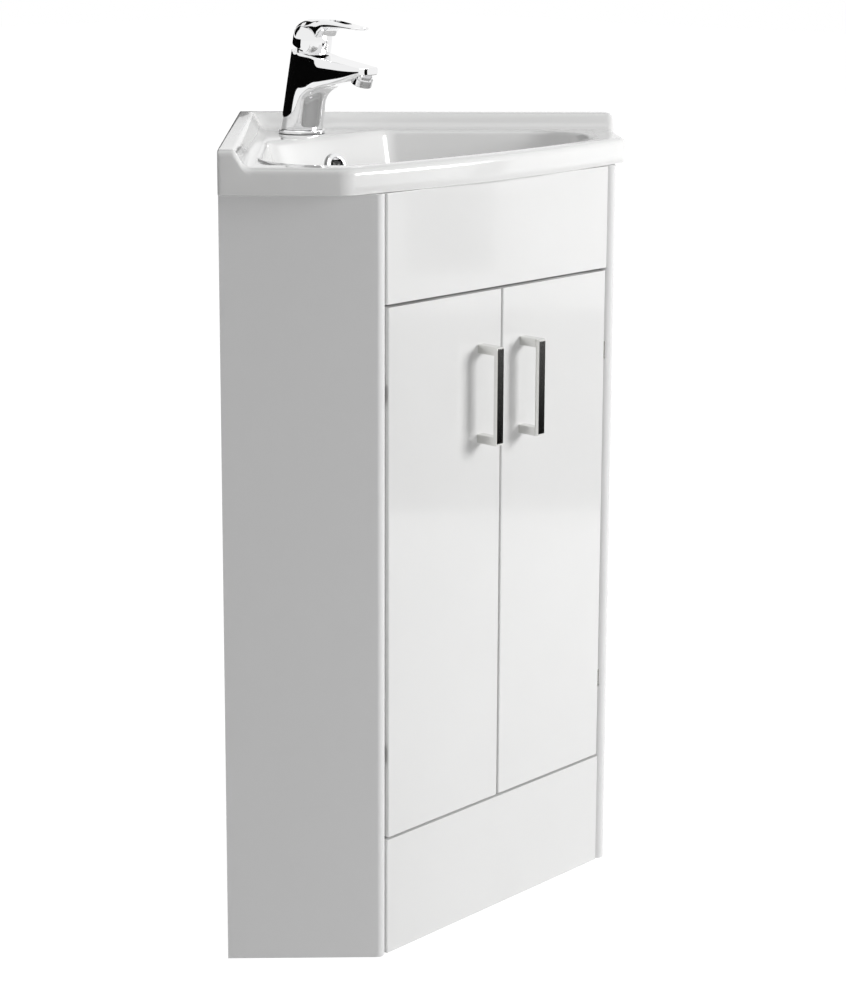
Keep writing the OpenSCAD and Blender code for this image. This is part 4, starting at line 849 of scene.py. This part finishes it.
# name: (node, body, frame, profile)
turnedPieces = {
    "footRing": ("tap_foot_ring", "cabinet", standing(0, basinSizes["tap"], 0),
                 [(16.5, 832.8), (26.4, 832.8), (26.7, 833.1)] + arc(25.2, 835.3, 1.5, 0, 90, 7)
                 + [(16.5, 836.8), (16.5, 832.8)]),
    "overflowTrim": ("overflow_ring", "cabinet", overflowFrame,
                     [(10, -10), (11.4, -10), (11.4, 0.5), (15.2, 0.5)]
                     + arc(14.3, 1.5, 0.9, 0, 90, 6) + arc(10.9, 1.5, 0.9, 90, 180, 6)
                     + [(10, -10)]),
    "aeratorCup": ("tap_aerator", "cabinet", aeratorFrame,
                   [(0, -3), (9.5, -3), (9.5, 0.3), (11.2, 0.3), (11.5, 0.6), (11.5, 7.3)]
                   + arc(10.5, 7.5, 1.0, 0, 90, 6)
                   + [(9.2, 8.5), (9.0, 8.3), (9.0, 6.5), (0, 6.5)]),
    "wasteCap": ("waste_plug", "plug", standing(0, basinSizes["waste"], 0),
                 [(0, plugBottom), (3, plugBottom), (3, plugTop - 5),
                  (plugRadius - 0.6, plugTop - 5), (plugRadius, plugTop - 4.4)]
                 + arc(plugRadius - 1.8, plugTop - 1.9, 1.8, 0, 75, 6)
                 + [(plugRadius * 0.7, plugTop - 0.05), (0, plugTop)]),
}
for name, (node, owner, matrix, profile) in turnedPieces.items():
    piece = turned(profile, matrix, 80)
    smooth(piece, 30)
    dress(piece, name, owner, "polished_chrome", node)
print("turned pieces:", len(turnedPieces))


# boards and fittings: the CAD solids with their edges eased

easing = {"segments": 3, "angle": 40, "merge": 0.000002, "flatWithin": 0.6, "weight": 80}
# node: (name, radius of its edges in mm)
easedBoards = {
    "left_side_panel": ("sidePanelLeft", 0.6), "right_side_panel": ("sidePanelRight", 0.6),
    "left_door": ("doorLeft", 1.3), "right_door": ("doorRight", 1.3),
    "fascia": ("fasciaBoard", 1.1), "plinth": ("plinthBoard", 1.1),
    "left_handle": ("handleLeft", 0.7), "right_handle": ("handleRight", 0.7),
    "base_panel": ("basePanel", 0.4), "stretcher": ("stretcherBoard", 0.4),
    "left_upper_rail": ("railUpperLeft", 0.4), "right_upper_rail": ("railUpperRight", 0.4),
    "left_lower_rail": ("railLowerLeft", 0.4), "right_lower_rail": ("railLowerRight", 0.4),
    "corner_post": ("cornerPost", 0.4),
    "left_fascia_bracket": ("bracketFasciaLeft", 0.5),
    "right_fascia_bracket": ("bracketFasciaRight", 0.5),
    "left_plinth_bracket": ("bracketPlinthLeft", 0.5),
    "right_plinth_bracket": ("bracketPlinthRight", 0.5),
}


def easedCopy(node, name, width):
    source = frame["nodes"][node]
    obj = bpy.data.objects.new(name, source.data.copy())
    bpy.context.scene.collection.objects.link(obj)
    startEdit(obj)
    bpy.ops.mesh.customdata_custom_splitnormals_clear()
    bpy.ops.mesh.select_all(action="SELECT")
    bpy.ops.mesh.remove_doubles(threshold=easing["merge"])
    bpy.ops.mesh.dissolve_limited(angle_limit=math.radians(easing["flatWithin"]))
    endEdit()
    applyModifier(obj, "BEVEL", width=width * mm, segments=easing["segments"],
                  limit_method="ANGLE", angle_limit=math.radians(easing["angle"]),
                  use_clamp_overlap=True, miter_outer="MITER_ARC")
    smooth(obj)
    applyModifier(obj, "WEIGHTED_NORMAL", keep_sharp=True, weight=easing["weight"])
    return dress(obj, name, source["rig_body"], nodeSlots[node], node)


for node, (name, width) in easedBoards.items():
    easedCopy(node, name, width)
print("eased boards:", len(easedBoards))


# studio: white surround, pale floor, soft lamps, dark cards that only gloss sees

studio = {"ambient": 0.32, "shine": 1.0, "floorSize": 30, "floorTone": 0.9, "floorShow": 0.86,
          "floorGlow": 1.15}
# name: (place, what it points at, size in metres, power in watts)
lamps = {
    "keyLamp": ((1.6, -2.55, 1.6), (0, 0, 0.45), 1.3, 67.0),
    "topLamp": ((-0.4, -0.2, 3.0), (0, 0, 0.8), 1.6, 6.0),
}
# name: (centre, what it faces, width, height, glow towards its upper edge)
cards = {
    "cardFront": ((1.25, -1.35, 0.12), (0, 0, 0.12), 1.9, 0.5, 0.09),
    "cardBack": ((-0.7, 1.4, 0.6), (-0.7, 0, 0.6), 3.8, 0.8, 0),
    "cardHigh": ((0.15, 1.5, 1.5), (0, 0.1, 0.9), 1.2, 0.8, 0),
    "cardSlim": ((0.92, -1.12, 0.8), (0, 0, 0.8), 0.14, 0.6, 0),
}
cardTone = (0.004, 0.004, 0.004, 1)
cardFade = (0.05, 0.45)    # where the glow starts and is full, in card heights from the centre
view = {"place": (-1.8199, -1.8047, 1.0890), "turn": (78.922, -0.195, -46.424),
        "lens": 84.436, "sensor": 36, "shift": -0.14}


def seenBy(tree, *rays):
    # 1 for the kinds of ray that are named, otherwise 0
    path = tree.nodes.new("ShaderNodeLightPath")
    result = path.outputs[rays[0]]
    for name in rays[1:]:
        either = tree.nodes.new("ShaderNodeMath")
        either.operation = "MAXIMUM"
        tree.links.new(result, either.inputs[0])
        tree.links.new(path.outputs[name], either.inputs[1])
        result = either.outputs[0]
    return result


def facing(centre, aim, axis):
    return (Vector(aim) - Vector(centre)).to_track_quat(axis, "Y").to_euler()


world = bpy.data.worlds.new("studio")
bpy.context.scene.world = world
world.use_nodes = True
tree = world.node_tree
background = tree.nodes["Background"]
background.inputs["Color"].default_value = (1, 1, 1, 1)
strength = tree.nodes.new("ShaderNodeMapRange")
strength.inputs["To Min"].default_value = studio["ambient"]
strength.inputs["To Max"].default_value = studio["shine"]
shown = seenBy(tree, "Is Camera Ray", "Is Glossy Ray", "Is Transmission Ray")
tree.links.new(shown, strength.inputs["Value"])
tree.links.new(strength.outputs["Result"], background.inputs["Strength"])

bpy.ops.mesh.primitive_plane_add(size=studio["floorSize"])
floor = bpy.context.object
floor.name = "studioFloor"
floorMaterial = bpy.data.materials.new("studioFloor")
floorMaterial.use_nodes = True
tree = floorMaterial.node_tree
tree.nodes.clear()
output = tree.nodes.new("ShaderNodeOutputMaterial")
matte = tree.nodes.new("ShaderNodeBsdfDiffuse")
matte.inputs["Color"].default_value = (*[studio["floorTone"]] * 3, 1)
glow = tree.nodes.new("ShaderNodeEmission")
glow.inputs["Color"].default_value = (1, 1, 1, 1)
glow.inputs["Strength"].default_value = studio["floorGlow"]
share = tree.nodes.new("ShaderNodeMath")
share.operation = "MULTIPLY"
share.inputs[1].default_value = studio["floorShow"]
choose = tree.nodes.new("ShaderNodeMixShader")
tree.links.new(seenBy(tree, "Is Camera Ray", "Is Glossy Ray"), share.inputs[0])
tree.links.new(share.outputs[0], choose.inputs["Fac"])
tree.links.new(matte.outputs[0], choose.inputs[1])
tree.links.new(glow.outputs[0], choose.inputs[2])
tree.links.new(choose.outputs[0], output.inputs["Surface"])
floor.data.materials.append(floorMaterial)

for name, (centre, aim, size, power) in lamps.items():
    bpy.ops.object.light_add(type="AREA", location=centre)
    light = bpy.context.object
    light.name = name
    light.data.shape = "DISK"
    light.data.size = size
    light.data.energy = power
    light.rotation_euler = facing(centre, aim, "-Z")

for name, (centre, aim, width, height, paler) in cards.items():
    bpy.ops.mesh.primitive_plane_add(size=1, location=centre)
    card = bpy.context.object
    card.name = name
    card.scale = (width, height, 1)
    card.rotation_euler = facing(centre, aim, "Z")
    material = bpy.data.materials.new(name)
    material.use_nodes = True
    nodes, links = material.node_tree.nodes, material.node_tree.links
    shader = nodes["Principled BSDF"]
    shader.inputs["Base Color"].default_value = cardTone
    shader.inputs["Roughness"].default_value = 1
    shader.inputs["Specular IOR Level"].default_value = 0
    if paler:
        spot = nodes.new("ShaderNodeTexCoord")
        split = nodes.new("ShaderNodeSeparateXYZ")
        fade = nodes.new("ShaderNodeMapRange")
        fade.inputs["From Min"].default_value = cardFade[0]
        fade.inputs["From Max"].default_value = cardFade[1]
        fade.inputs["To Max"].default_value = paler
        shader.inputs["Emission Color"].default_value = (1, 1, 1, 1)
        links.new(spot.outputs["Object"], split.inputs[0])
        links.new(split.outputs["Y"], fade.inputs["Value"])
        links.new(fade.outputs["Result"], shader.inputs["Emission Strength"])
    card.data.materials.append(material)
    card.visible_camera = False
    card.visible_diffuse = False
    card.visible_shadow = False
    card.visible_transmission = False

bpy.ops.object.camera_add(location=view["place"],
                          rotation=[math.radians(a) for a in view["turn"]])
camera = bpy.context.object
camera.data.lens = view["lens"]
camera.data.sensor_width = view["sensor"]
camera.data.shift_y = view["shift"]
bpy.context.scene.camera = camera
bpy.context.scene.view_settings.view_transform = "Standard"
print("studio ready")
